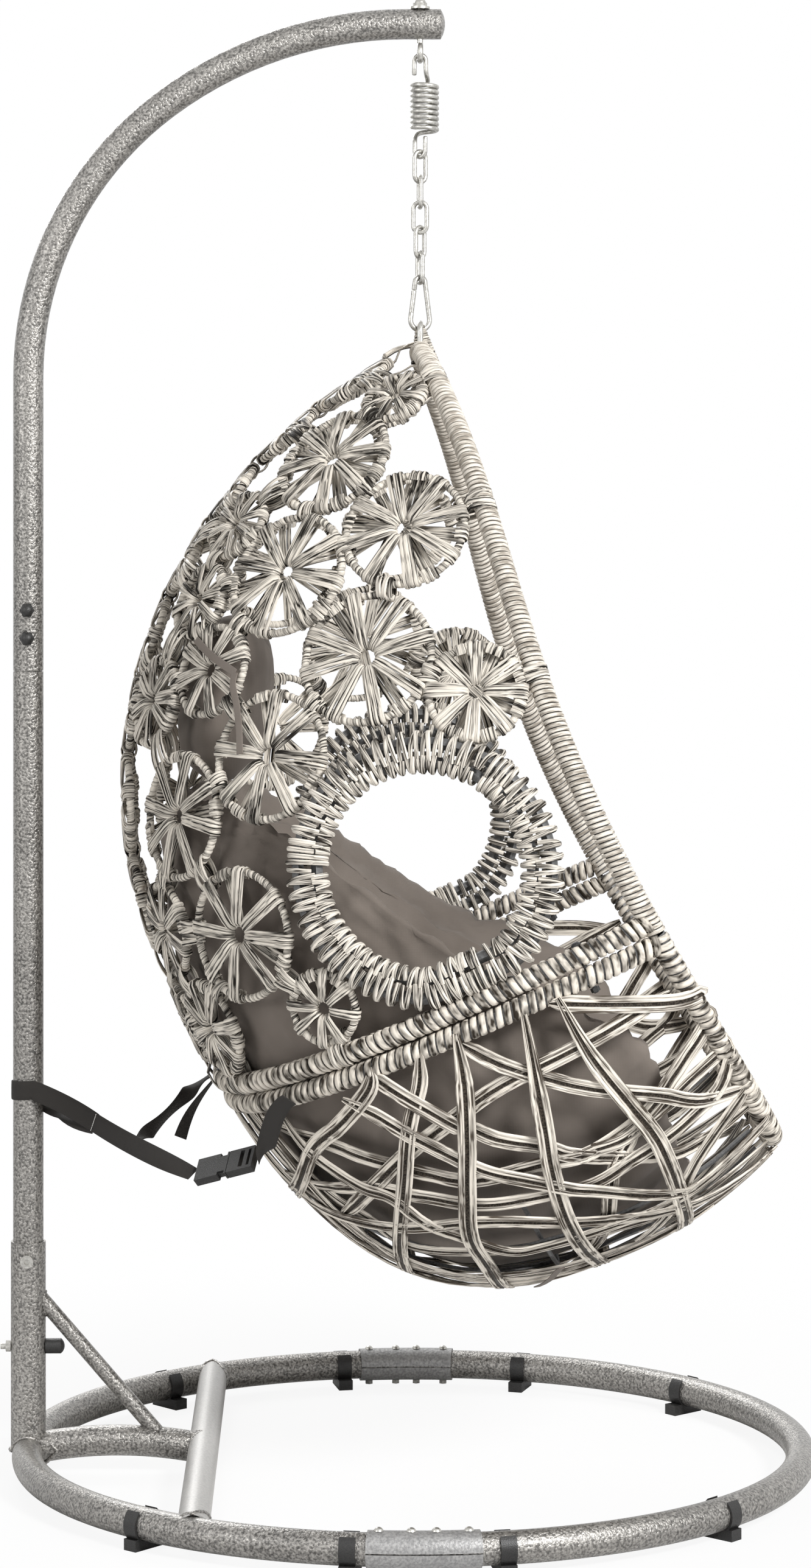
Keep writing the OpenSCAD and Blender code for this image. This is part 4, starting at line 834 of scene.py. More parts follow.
def make_rosette(r):
    """Strands of one wheel, flat on z = 0, the outside towards +z."""
    wheel = new_bundle()
    per_petal = 3 if r > 0.058 else 2
    rim = r - 0.0066
    hub = 0.0055 + 0.06 * r
    turns = int(2 * math.pi * rim / RIM_STRAND_W)
    points, outs = [], []
    for i in range(turns * 8 + 1):
        a = 2 * math.pi * i / (turns * 8)
        twist = 2 * math.pi * i / 8
        radial = Vector((math.cos(a), math.sin(a), 0))
        out = radial * math.cos(twist) + Vector((0, 0, 1)) * math.sin(twist)
        points.append(radial * rim + out * 0.0040)
        outs.append(out)
    lay_strand(wheel, points, outs, width=RIM_STRAND_W, thick=0.0024)
    # One strand of a petal, out from the hub, over the rim and in again: reach, share of its spread, height
    line = [(hub, 0.60, -0.0022), (hub + 0.0012, 0.62, 0.0030), (hub + 0.0055, 0.68, 0.0062),
            (hub + 0.016, 0.80, 0.0072)]
    line += [(hub + 0.016 + (rim - hub - 0.016) * q, 0.80 + 0.20 * q, 0.0072) for q in (0.35, 0.7, 1)]
    line += [(rim + 0.0050, 1, 0.0046), (rim + 0.0064, 1, 0), (rim + 0.0046, 1, -0.0048),
             (rim - 0.0020, 1, -0.0066), (rim - 0.0090, 1, -0.0048)]
    widths = [0.0044, 0.0048, 0.0054, 0.0060, 0.0064, 0.0066, 0.0067] + [0.0066] * 5
    for layer, petal in [(layer, petal) for layer in (1, -1) for petal in range(PETALS)]:
        if layer < 0 and shuffle.random() < BEHIND_LEFT_OUT:
            continue
        middle = 2 * math.pi * (petal + (0.5 if layer < 0 else 0)) / PETALS + shuffle.uniform(-0.09, 0.09)
        near = Vector((math.cos(middle), math.sin(middle), 0))
        side = Vector((-math.sin(middle), math.cos(middle), 0))
        for k in range(per_petal):
            spread = k - (per_petal - 1) / 2
            bow = shuffle.uniform(-0.0007, 0.0007)
            height = 0.0010 * (1 - abs(spread)) + shuffle.uniform(0, 0.0007)
            at = [near * reach + side * (spread * PETAL_PITCH * wide + bow * min(1, (reach - hub) * 50))
                  + Vector((0, 0, layer * (up + (height if up > 0.004 else 0)))) for reach, wide, up in line]
            face = []
            for i in range(len(at)):
                ahead = (at[min(i + 1, len(at) - 1)] - at[max(i - 1, 0)]).normalized()
                face.append(ahead.cross(side) * -layer)
            lay_strand(wheel, at, face, width=widths, thick=PETAL_STRAND_T)
    return wheel


# Wheels of a side: forward place, height and radius in mm
SIDE_ROSETTES = [(-133, -212, 82), (-295, -203, 86), (-243, -340, 88), (-180, -93, 80), (-72, -50, 44),
                 (-329, -119, 50), (-414, -190, 52), (-434, -277, 62), (-522, -286, 60), (-136, -432, 63),
                 (-407, -403, 84), (-547, -431, 82), (-532, -593, 84), (-469, ON_SEAM * 1000 + 48, 48),
                 (-618, ON_SEAM * 1000 + 64, 64)]
# Wheels of the back: degrees round the opening, share of the way to the back, radius in mm
BACK_ROSETTES = [(0, 0.108, 58), (0, 0.218, 52), (0, 0.325, 50), (0, 0.431, 52), (0, 0.541, 54),
                 (0, 0.652, 51), (0, 0.775, 66), (0, 0.915, 68), (80, 0.78, 62), (-80, 0.78, 62),
                 (180, 0.968, 54), (120, 0.89, 52), (-120, 0.89, 52)]
IN_SURFACE = 0.009


def wheel_on_egg(bundle, wheel, at, out):
    """Lays a wheel on the surface at a point, bent to it."""
    across = out.cross(Vector((0, 0, 1))).normalized()
    if across.length < 0.5:
        across = Vector((0, 1, 0))
    up = across.cross(out)
    spin = shuffle.uniform(0, 6.28)
    side, rise = across * math.cos(spin) + up * math.sin(spin), up * math.cos(spin) - across * math.sin(spin)
    verts = []
    for v in wheel["verts"]:
        flat = at + side * v.x + rise * v.y
        on_surface, normal = laid(flat)
        bent = flat.lerp(on_surface, 0.75)
        verts.append(bent + (out * 0.4 + normal * 0.6).normalized() * (v.z - IN_SURFACE))
    take_in(bundle, wheel, verts)


WHEEL_MARGIN = 0.003
near_wheels, far_wheels, back_wheels = new_bundle(), new_bundle(), new_bundle()
wheel_places = []
for x, z, r in SIDE_ROSETTES:
    near_at, near_out = side_point(x / 1000, z / 1000)
    radius = r / 1000 + WHEEL_MARGIN
    wheel = make_rosette(radius)
    for bundle, side in ((near_wheels, 1), (far_wheels, -1)):
        at = Vector((near_at.x, side * near_at.y, near_at.z))
        out = Vector((near_out.x, side * near_out.y, near_out.z))
        wheel_on_egg(bundle, wheel, at, out)
        wheel_places.append((at, out, radius, bundle))
for t, share, r in BACK_ROSETTES:
    at, out = laid(egg(t, share))
    radius = r / 1000 + WHEEL_MARGIN
    wheel_on_egg(back_wheels, make_rosette(radius), at, out)
    wheel_places.append((at, out, radius, back_wheels))


def bind(bundle, middle, out, way, reach, loops, height_a=0.0095, height_b=0.0095):
    """Loops of strand round two tubes that lie reach apart either way from the middle."""
    along = out.cross(way)
    for k in range(loops):
        loop, faces = [], []
        shift = along * ((k - (loops - 1) / 2) * 0.0076 + shuffle.uniform(-0.001, 0.001))
        lean = shuffle.uniform(-0.25, 0.25)
        for j in range(17):
            a = 2 * math.pi * j / 16
            height = height_b if math.cos(a) > 0 else height_a
            loop.append(middle + shift + along * lean * math.cos(a) * reach + way * math.cos(a) * reach
                        + out * math.sin(a) * height)
            faces.append(way * math.cos(a) / reach + out * math.sin(a) / height)
        lay_strand(bundle, loop, faces, width=0.0070, thick=0.0026)


# Bindings: a few loops round the rims of two wheels where they meet
for i, (at_a, out_a, r_a, _) in enumerate(wheel_places):
    for at_b, out_b, r_b, bundle in wheel_places[i + 1:]:
        way = at_b - at_a
        gap = way.length - r_a - r_b
        if gap > 0.034 or out_a.dot(out_b) < 0.3:
            continue
        way.normalize()
        middle, out = laid(at_a + way * (r_a + gap / 2))
        way = (way - out * way.dot(out)).normalized()
        loops = 3 if gap < 0.02 else 4
        bind(bundle, middle - out * IN_SURFACE, out, way, reach=max(gap / 2, 0) + 0.0125, loops=loops)

# Ties: loops from a wheel's rim to the wound tube that passes near it
tube_points = frame_line(-SEAM_ANGLE, SEAM_ANGLE, 240) + hoop_line(-SEAM_DROP + WRAP_R + SNUG, 120)
for at, out, r, bundle in wheel_places:
    near_by = sorted(tube_points, key=lambda q: (q - at).length)
    gap = (near_by[0] - at).length - r - WRAP_R
    if gap > 0.045:
        continue
    way = (near_by[0] - at).normalized()
    rim_point = at + way * (r - 0.005) - out * IN_SURFACE
    middle = (rim_point + near_by[0]) / 2
    way = (near_by[0] - rim_point).normalized()
    face = (out - way * out.dot(way)).normalized()
    bind(bundle, middle, face, way, reach=(near_by[0] - rim_point).length / 2 + 0.014, loops=3,
         height_a=0.0088, height_b=WRAP_R + 0.0035)

# Strands from the topmost wheel at the back up to the frame's top
at, out = laid(egg(0, BACK_ROSETTES[0][1]))
for k in range(5):
    foot = at + out.cross(Vector((0, 1, 0))).normalized() * 0.052 + Vector((0, (k - 2) * 0.018, 0))
    if foot.z < at.z:
        foot = at - (foot - at)
    head = Vector((-0.016, (k - 2) * 0.006, -0.004))
    line = [foot.lerp(head, q / 6) + out * 0.004 * math.sin(math.pi * q / 6) for q in range(7)]
    lay_strand(back_wheels, line, [out] * 7, width=0.0075, thick=0.0062)
bundle_piece("rosettes_near_wicker", near_wheels, petal_wicker, "basket", "wicker", "rosettes_near")
bundle_piece("rosettes_far_wicker", far_wheels, petal_wicker, "basket", "wicker", "rosettes_far")
bundle_piece("rosettes_back_wicker", back_wheels, petal_wicker, "basket", "wicker", "rosettes_back")


# ---------------------------------------------------------------------------
# Winding at the basket's top
# Strand wound in a cone over the place where the bail is welded to the frame,
# from the width of the wound tube up to the bail's neck.
# ---------------------------------------------------------------------------
cone_foot = placed(Vector((-WRAP_R, 0, -0.030)))
cone_top = Vector((HANG_X, 0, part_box("bail")[1][2] - 0.0085))
CONE_TURNS = 10
CONE_STEPS = 14
CONE_FOOT_R = 0.0178
CONE_TOP_R = 0.0050
cone = new_bundle()
cone_way = (cone_top - cone_foot).normalized()
cone_side = Vector((0, 1, 0))
cone_front = cone_side.cross(cone_way)
cone_line, cone_outs = [], []
for i in range(CONE_TURNS * CONE_STEPS + 1):
    a, q = 2 * math.pi * i / CONE_STEPS, i / (CONE_TURNS * CONE_STEPS)
    out = cone_front * math.cos(a) + cone_side * math.sin(a)
    cone_line.append(unplaced(cone_foot.lerp(cone_top, q) + out * (CONE_FOOT_R * (1 - q) + CONE_TOP_R * q)))
    cone_outs.append(basket_turn.inverted() @ out)
lay_strand(cone, cone_line, cone_outs, width=0.0056, thick=0.0028)
bundle_piece("apex_winding", cone, petal_wicker, "basket", "wicker")


# ---------------------------------------------------------------------------
# Bowl under the seam
# Wide double straps of wicker, light along their edges and dark and speckled
# along the middle, stretched from the hoop and the frame round the bowl.
# ---------------------------------------------------------------------------
strap_wicker = wicker_material("strap_wicker", across=9.0, along=0.1, dark=(0.075, 0.06, 0.046),
                               light=(0.84, 0.78, 0.69), bump=0.6, stripe=True)
STRAP_W = 0.0225
STRAP_T = 0.0046
STRAP_SUNK = 0.0125
LAYER_STEP = 0.0042
# Down and under the bowl to the other side, as forward, sideways and upward place in mm
CROSS_STRAPS = [
    [(-377, -423, -800), (-394, -416, -840), (-428, -395, -886), (-464, -353, -954), (-505, -256, -1036),
     (-500, 0, -1085)],
    [(-329, -434, -800), (-344, -426, -861), (-371, -401, -933), (-397, -364, -995), (-419, -304, -1061),
     (-416, -218, -1128), (-400, 0, -1160)],
    [(-242, -442, -804), (-264, -427, -900), (-278, -406, -960), (-290, -380, -1009), (-299, -326, -1078),
     (-296, -247, -1141), (-286, -140, -1182), (-280, 0, -1205)],
    [(-198, -442, -810), (-190, -430, -892), (-171, -403, -969), (-157, -370, -1026), (-155, -335, -1069),
     (-158, -253, -1137), (-165, -120, -1200), (-175, 0, -1215)],
    [(-442, -401, -800), (-455, -393, -825), (-508, -355, -856), (-554, -305, -877), (-600, -190, -930),
     (-610, 0, -950)]]
# Round one side of the bowl
SIDE_STRAPS = [
    [(-175, -378, -1016), (-226, -344, -1063), (-267, -243, -1145), (-330, -120, -1180)],
    [(-68, -422, -865), (-141, -432, -874), (-214, -433, -880), (-320, -425, -887), (-412, -395, -911),
     (-464, -363, -929), (-522, -301, -960), (-560, -200, -980)],
    [(-490, -372, -825), (-458, -386, -865), (-422, -391, -912), (-375, -385, -970), (-336, -377, -1002),
     (-288, -359, -1040), (-252, -342, -1064), (-179, -292, -1112), (-121, -261, -1125),
     (-14, -257, -1090)],
    [(-373, -408, -908), (-339, -403, -947), (-289, -394, -984), (-255, -380, -1013), (-170, -345, -1060),
     (-119, -324, -1073), (-14, -301, -1060)],
    [(-337, -431, -805), (-293, -433, -861), (-246, -427, -904), (-202, -417, -937), (-131, -393, -982),
     (-83, -362, -1015), (-14, -320, -1030)],
    [(-449, -397, -805), (-412, -407, -860), (-390, -408, -891), (-369, -407, -916)],
    [(-590, -220, -820), (-541, -319, -880), (-501, -345, -912), (-441, -364, -957), (-384, -371, -990),
     (-297, -381, -1006), (-234, -378, -1017), (-161, -385, -1002), (-108, -394, -971), (-40, -400, -930),
     (-14, -405, -905)],
    [(-600, -150, -900), (-514, -315, -951), (-460, -341, -980), (-411, -348, -1013), (-354, -352, -1035),
     (-292, -352, -1050), (-236, -349, -1057), (-178, -357, -1046), (-108, -358, -1031),
     (-56, -358, -1008), (-14, -380, -950)],
    [(-575, -300, -815), (-560, -294, -880), (-522, -313, -939), (-491, -325, -969), (-465, -314, -1015),
     (-429, -302, -1057), (-383, -279, -1100), (-340, -275, -1116), (-273, -278, -1122),
     (-195, -264, -1133), (-137, -263, -1127), (-40, -264, -1098), (-14, -270, -1080)],
    [(-610, -230, -815), (-596, -235, -859), (-577, -235, -939), (-537, -256, -994), (-514, -232, -1046),
     (-458, -251, -1075), (-385, -261, -1105), (-304, -258, -1130), (-211, -232, -1155),
     (-118, -204, -1160), (-14, -178, -1139)],
    [(-625, -90, -840), (-610, -150, -900), (-558, -200, -990), (-520, -160, -1060), (-459, -150, -1110),
     (-372, -140, -1160), (-290, -130, -1185), (-225, -120, -1198), (-159, -98, -1200), (-14, -90, -1160)],
    [(-210, -442, -812), (-131, -435, -851), (-61, -415, -880), (-14, -410, -885)],
    [(-14, -369, -965), (-90, -383, -985), (-145, -381, -1006), (-193, -377, -1018), (-248, -380, -1013)],
    [(-14, -330, -1020), (-120, -300, -1090), (-200, -200, -1160), (-300, -60, -1200), (-420, 60, -1165)],
    [(-650, -60, -850), (-600, -180, -960), (-520, -270, -1010), (-400, -330, -1040), (-280, -300, -1100),
     (-120, -210, -1160), (-14, -120, -1150)]]
# Along the lowest part, from the hoop's back to the frame's foot: sideways place at start, middle and end
KEEL_STRAPS = [(-150, -40, 60), (-60, 80, -40), (60, -90, 20), (150, 20, -90), (-220, -150, -110),
               (220, 150, 110), (0, 10, 130), (-100, -180, -10), (110, 200, 40), (-190, -60, -30),
               (190, 70, 30), (-30, -120, -70), (40, 130, 100), (-120, 40, 150), (130, -30, -150)]


def smooth_line(points, per_span=6):
    """Smooth line through all the points."""
    line = []
    for i in range(len(points) - 1):
        a, b, c, d = points[max(i - 1, 0)], points[i], points[i + 1], points[min(i + 2, len(points) - 1)]
        for k in range(per_span):
            t = k / per_span
            line.append(0.5 * ((2 * b) + (c - a) * t + (2 * a - 5 * b + 4 * c - d) * t * t
                               + (3 * b - a - 3 * c + d) * t ** 3))
    return line + [points[-1]]


def strap_over_bowl(bundle, points, layer, flip=1):
    """Lays a strap over the bowl through points in mm, on one of the layers of the weave."""
    wave = shuffle.uniform(0, 6)
    line = smooth_line([Vector((x, flip * y, z)) / 1000 for x, y, z in points])
    skin = [laid(q, -(-STRAP_SUNK + LAYER_STEP * layer + 0.0012 * math.sin(i * 0.55 + wave)))
            for i, q in enumerate(line)]
    lay_strand(bundle, *zip(*skin), width=STRAP_W * shuffle.uniform(0.92, 1.08), thick=STRAP_T,
               section="ridged", taper=0.09)


bowl = new_bundle()
for i, points in enumerate(CROSS_STRAPS):
    other = [[x + shuffle.uniform(-18, 18), -y, z] for x, y, z in reversed(points[:-1])]
    strap_over_bowl(bowl, points + other, 2.1 + 0.3 * (i % 2))
for i, points in enumerate(SIDE_STRAPS):
    for flip in (1, -1):
        moved = points if flip == 1 else [[x + shuffle.uniform(-12, 12), y, z] for x, y, z in points]
        strap_over_bowl(bowl, moved, i % 3, flip)
for i, (a, b, c) in enumerate(KEEL_STRAPS):
    strap_over_bowl(bowl, [[-630, a, -815], [-600, a * 1.05, -930], [-520, (a + b) / 2, -1060],
                           [-400, b, -1150], [-260, b, -1200], [-120, (b + c) / 2, -1205], [-14, c, -1175]],
                    i % 3)
bundle_piece("bowl_straps", bowl, strap_wicker, "basket", "wicker", "bowl_weave")

# ---------------------------------------------------------------------------
# Seat cushion
# A loose sack of warm grey cloth filled with fibre and pressed into the bowl. It
# is sewn round its edge, and short folds run down from there.
# ---------------------------------------------------------------------------
cloth_weave, weave_in, weave_out = new_effect("cloth_weave", {"Threads": 160.0, "Patch Size": 7.0},
                                              ["Thread", "Patches"])
coords = add_node(cloth_weave, "TexCoord")
warp, weft = [add_node(cloth_weave, "TexWave", {"Vector": (coords, "Object"), "Scale": (weave_in, "Threads"),
                                                "Distortion": 0.6}, bands_direction=direction)
              for direction in ("X", "Z")]
over = add_node(cloth_weave, "Math", {0: (warp, "Fac"), 1: (weft, "Fac")}, operation="MAXIMUM")
wide = add_node(cloth_weave, "TexNoise", {"Vector": (coords, "Object"), "Scale": (weave_in, "Patch Size"),
                                          "Detail": 5.0})
feed(weave_out, {"Thread": (over, 0), "Patches": (wide, "Fac")})


def cloth_material(name, dark, light, threads, bump):
    made, tree, bsdf = plain_material(name, 0.86)
    effect = add_node(tree, "Group", {"Threads": threads}, node_tree=cloth_weave)
    share = add_node(tree, "MapRange", {"Value": (effect, "Patches"), "From Min": 0.3, "From Max": 0.7})
    shade = add_node(tree, "Mix", {"Factor": (share, "Result"), "A": (*dark, 1), "B": (*light, 1)},
                     data_type="RGBA")
    height = add_node(tree, "Bump", {"Height": (effect, "Thread"), "Strength": bump, "Distance": 0.0004})
    feed(bsdf, {"Specular IOR Level": 0.1, "Sheen Weight": 0.12, "Sheen Roughness": 0.5,
                "Base Color": (shade, "Result"), "Normal": (height, "Normal")})
    return made


cushion_cloth = cloth_material("cushion_cloth", dark=(0.15, 0.128, 0.11), light=(0.225, 0.195, 0.17),
                               threads=160.0, bump=0.25)
FILLING_FRAMES = 20


def filled(name, columns, rows, skin, pressure, most):
    """Closed form of two skins that meet round a sewn edge, blown up by its filling; no point moves further
    than most. skin(side, degrees round it, share of the way from its middle to its edge) gives a point."""
    verts, rings, faces = [skin(0, 0, 0), skin(1, 0, 0)], {}, []
    for side in (0, 1):
        for k in range(1, rows + 1):
            if side and k == rows:
                rings[side, k] = rings[0, k]
                continue
            rings[side, k] = len(verts)
            verts += [skin(side, 360 * i / columns, k / rows) for i in range(columns)]
    for side in (0, 1):
        for i in range(columns):
            j = (i + 1) % columns
            faces.append((side, rings[side, 1] + i, rings[side, 1] + j))
            for k in range(1, rows):
                a, b = rings[side, k], rings[side, k + 1]
                faces.append((a + i, b + i, b + j, a + j))
    mesh = bpy.data.meshes.new(name)
    mesh.from_pydata(verts, [], faces)
    piece = new_object(name, mesh)
    faced_outwards(piece)
    before = [v.co.copy() for v in piece.data.vertices]
    cloth = piece.modifiers.new("filling", "CLOTH")
    cloth.settings.quality = 4
    cloth.settings.use_pressure = True
    cloth.settings.uniform_pressure_force = pressure
    cloth.settings.effector_weights.gravity = 0
    cloth.settings.bending_stiffness = 0.4
    cloth.point_cache.frame_start = 1
    cloth.point_cache.frame_end = FILLING_FRAMES
    for moment in range(1, FILLING_FRAMES + 1):
        scene.frame_set(moment)
    bpy.ops.object.modifier_apply(modifier="filling")
    scene.frame_set(1)
    for vertex, start in zip(piece.data.vertices, before):
        moved = vertex.co - start
        if moved.length > most:
            vertex.co = start + moved * (most / moved.length)
    finer = piece.modifiers.new("finer", "SUBSURF")
    finer.levels = finer.render_levels = 1
    bpy.ops.object.modifier_apply(modifier="finer")
    return piece


def nearest_on(line, points):
    """For each point: distance to a line of points, and how far along the line its nearest point is."""
    line = np.array([tuple(p) for p in line])
    run = np.concatenate([[0], np.cumsum(np.linalg.norm(np.diff(line, axis=0), axis=1))])
    best, where = np.full(len(points), 9.0), np.zeros(len(points))
    for place, along in zip(line, run):
        away = np.linalg.norm(points - place, axis=1)
        closer = away < best
        best[closer], where[closer] = away[closer], along
    return best, where


def vertex_values(piece, what="co"):
    """Place of every vertex, or its normal, as rows of three."""
    places = np.empty(len(piece.data.vertices) * 3, np.float32)
    piece.data.vertices.foreach_get(what, places)
    return places.reshape(-1, 3)


def push(piece, depth):
    """Moves every vertex along its normal by its own depth, inwards where depth is positive."""
    inwards = vertex_values(piece, "normal") * depth[:, None].astype(np.float32)
    piece.data.vertices.foreach_set("co", (vertex_values(piece) - inwards).ravel())
    piece.data.update()


def held_in(piece, node, proud):
    """Keeps a filled piece within a little of its solid."""
    solid = nodes[node].data
    shell = BVHTree.FromPolygons([v.co for v in solid.vertices], [tuple(p.vertices) for p in solid.polygons])
    for vertex in piece.data.vertices:
        near, normal, _, _ = shell.find_nearest(vertex.co)
        over = (vertex.co - near).dot(normal)
        if over > proud:
            vertex.co -= normal * (over - proud)


def finish_cloth(piece, node):
    pick(piece)
    bpy.ops.object.shade_smooth()
    piece.data.materials.clear()
    piece.data.materials.append(cushion_cloth)
    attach(piece, "basket")
    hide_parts(node)


def cushion_reach(t):
    low = (1 - math.cos(math.radians(t))) / 2
    return 1 - (0.86 - 0.8 * low * (2 - low) - 0.07 * math.exp(-((min(t, 360 - t) - 122) / 16) ** 2))


CUSHION_IN = 0.034
CUSHION_T = 0.125
CUSHION_LOBES = 8


def seat_skin(side, t, q):
    crown = math.sqrt(1 - q ** 5)
    tuft = 1 - 0.14 * abs(math.cos(math.radians(t * CUSHION_LOBES / 2))) ** 8 * math.sin(math.pi * q)
    share = 0.11 + (0.81 * crown * tuft if side else -0.06 * crown)
    return placed(egg(t, 1 - cushion_reach(t) * q * 0.985, CUSHION_IN + CUSHION_T * share))


seat = filled("seat_cushion_cloth", columns=144, rows=38, skin=seat_skin, pressure=4.0, most=0.022)
rim_line = [placed(egg(t, 1 - cushion_reach(t), CUSHION_IN + 0.012)) for t in range(0, 361, 2)]
places = vertex_values(seat)
from_rim, along_rim = nearest_on(rim_line, places)
soft = np.array([noise.noise(Vector(p) * 8.5) for p in places])
fine = np.array([noise.noise(Vector(p) * 24.0 + Vector((7, 3, 1))) for p in places])
ridge = np.array([1 - abs(noise.noise(Vector((p[0] * 11, p[1] * 11, p[2] * 5)) + Vector((3, 9, 4)))) * 3.2
                  for p in places])
pleat = 0.5 + 0.5 * np.cos(2 * np.pi * along_rim / 0.055 + 6 * soft)
depth = 0.0060 * pleat * np.exp(-((from_rim - 0.05) / 0.08) ** 2) + 0.0050 * soft + 0.0016 * fine
depth += 0.0075 * np.clip(ridge, 0, 1) ** 3 * np.clip(from_rim / 0.05, 0, 1)
for seam_points in ([(-400, -389, -591), (-373, -399, -595), (-340, -413, -616), (-305, -428, -654),
                     (-287, -437, -699), (-284, -440, -733)],
                    [(-403, -396, -620), (-381, -411, -655), (-369, -421, -693), (-368, -423, -712)]):
    seam_line = smooth_line([Vector(p) for p in seam_points], 8)
    seam_line = [placed(laid(q / 1000, CUSHION_IN)[0]) for q in seam_line]
    away, _ = nearest_on(seam_line, places)
    depth += 0.0080 * np.exp(-(away / 0.009) ** 2) - 0.0028 * np.exp(-((away - 0.020) / 0.012) ** 2)
push(seat, depth)
held_in(seat, "seat_cushion", 0.004)
finish_cloth(seat, "seat_cushion")


# ---------------------------------------------------------------------------
# Head pillow and ties
# A small filled pillow of the same cloth, tied to the wicker at the back with
# cloth ribbons that come out through it.
# ---------------------------------------------------------------------------
PILLOW_W, PILLOW_H, PILLOW_T = 0.400, 0.250, 0.110
PILLOW_CORNER = 3.4
PILLOW_MIDDLE = Vector((-0.43362, 0, -0.3267))
PILLOW_LEAN = Matrix.Rotation(math.radians(28), 3, "Y")


def pillow_skin(side, t, q):
    a = math.radians(t)
    corner = (abs(math.cos(a)) ** PILLOW_CORNER + abs(math.sin(a)) ** PILLOW_CORNER) ** (-1 / PILLOW_CORNER)
    corner *= 1 - 0.05 * math.cos(2 * a) ** 2
    lift = (1 - q ** 2.6) ** 0.62
    reach = corner * q * 0.98
    return placed(PILLOW_MIDDLE + PILLOW_LEAN @ Vector((
        (0.88 * PILLOW_T / 2 * lift) * (1 if side else -1), reach * PILLOW_W / 2 * math.cos(a),
        reach * PILLOW_H / 2 * math.sin(a))))


pillow = filled("head_pillow_cloth", columns=88, rows=20, skin=pillow_skin, pressure=4.0, most=0.016)
places = vertex_values(pillow)
soft = np.array([noise.noise(Vector(p) * 14.0) for p in places])
fine = np.array([noise.noise(Vector(p) * 38.0) for p in places])
push(pillow, 0.0035 * soft + 0.0016 * fine)
held_in(pillow, "head_pillow", 0.005)
finish_cloth(pillow, "head_pillow")

TIES = [[(-430, -170, -242), (-420, -201, -267), (-400, -240, -298)],
        [(-400, -240, -298), (-409, -245, -312), (-414, -259, -336), (-423, -273, -365), (-434, -284, -392)],
        [(-330, -220, -1150), (-338, -211, -1155), (-352, -175, -1168), (-371, -134, -1178)]]
ties = new_bundle()
for tie in TIES:
    for flip in (1, -1):
        line = smooth_line([Vector((x, flip * y, z)) / 1000 for x, y, z in tie])
        on_top = [laid(q, -0.004) for q in line]
        lay_strand(ties, *zip(*on_top), width=0.010, thick=0.0016, section="flat")
bundle_piece("cushion_ties", ties, cushion_cloth, "basket", "cushion_cloth")


# ---------------------------------------------------------------------------
# Strap between the pole and the basket
# Black 25 mm webbing: looped round the pole and sewn, then a side-release buckle
# and a short end to the hoop. A second, thinner strap goes to the hoop's back.
# ---------------------------------------------------------------------------
WEBBING_W = 0.025
SECOND_W = 0.020
TAIL_W = 0.018
WEBBING_T = 0.0018
webbing, tree, bsdf = plain_material("strap_webbing_cloth", 0.7)
uv = add_node(tree, "UVMap", uv_map="UVMap")
scale = add_node(tree, "Mapping", {"Vector": (uv, "UV"), "Scale": (7.0, 9.0, 1.0)})
chevron = add_node(tree, "TexWave", {"Vector": (scale, "Vector"), "Scale": 1.0, "Distortion": 1.2},
                   bands_direction="DIAGONAL")
shade = add_node(tree, "Mix", {"Factor": (chevron, "Fac"), "A": (0.014, 0.013, 0.012, 1),
                               "B": (0.058, 0.053, 0.049, 1)}, data_type="RGBA")
height = add_node(tree, "Bump", {"Height": (chevron, "Fac"), "Strength": 0.5, "Distance": 0.0005})
feed(bsdf, {"Specular IOR Level": 0.15, "Sheen Weight": 0.05, "Base Color": (shade, "Result"),
            "Normal": (height, "Normal")})
thread = grained("white_thread", roughness=0.7, metallic=0.0, size=900.0, patch=30.0,
                 dark=(0.5, 0.49, 0.46), light=(0.8, 0.79, 0.76), bump=0.3, rough=(0.6, 0.8))

STRAP_TURN = 58
POLE_EXIT = Vector((-0.47245, 0, 0.504))
BUCKLE_MID = Vector((-0.233856, -0.229779, 0.442719))
BUCKLE_WAY = Vector((0.863621, -0.415857, 0.284995))
BUCKLE_LEN = 0.084
STRAP_GAP = 0.008
STRAP_END = Vector((-0.153988, -0.332853, 0.540914))
REAR_ANCHOR = Vector((-0.261169, 0, 0.523844))
buckle_from = BUCKLE_MID - BUCKLE_WAY * BUCKLE_LEN / 2
buckle_to = BUCKLE_MID + BUCKLE_WAY * BUCKLE_LEN / 2


def run_point(k):
    return bezier(POLE_EXIT, POLE_EXIT + Vector((0.070, -0.030, -0.050)),
                  buckle_from + Vector((-0.070, 0.030, 0.022)), buckle_from - BUCKLE_WAY * STRAP_GAP, k)


def leaning(degrees):
    """Way that the webbing's width points when it leans so far from upright."""
    a = math.radians(degrees)
    return Vector((0, math.sin(a), math.cos(a)))


def width_way(share):
    """Way that the width points along the run, from upright to turned."""
    return leaning(STRAP_TURN * share)


def lay_webbing(bundle, points, ways, width=WEBBING_W):
    outs = []
    for i, way in enumerate(ways):
        along = (points[min(i + 1, len(points) - 1)] - points[max(i - 1, 0)]).normalized()
        outs.append(basket_turn.inverted() @ way.cross(along))
    lay_strand(bundle, [unplaced(p) for p in points], outs, width=width, thick=WEBBING_T, section="flat")


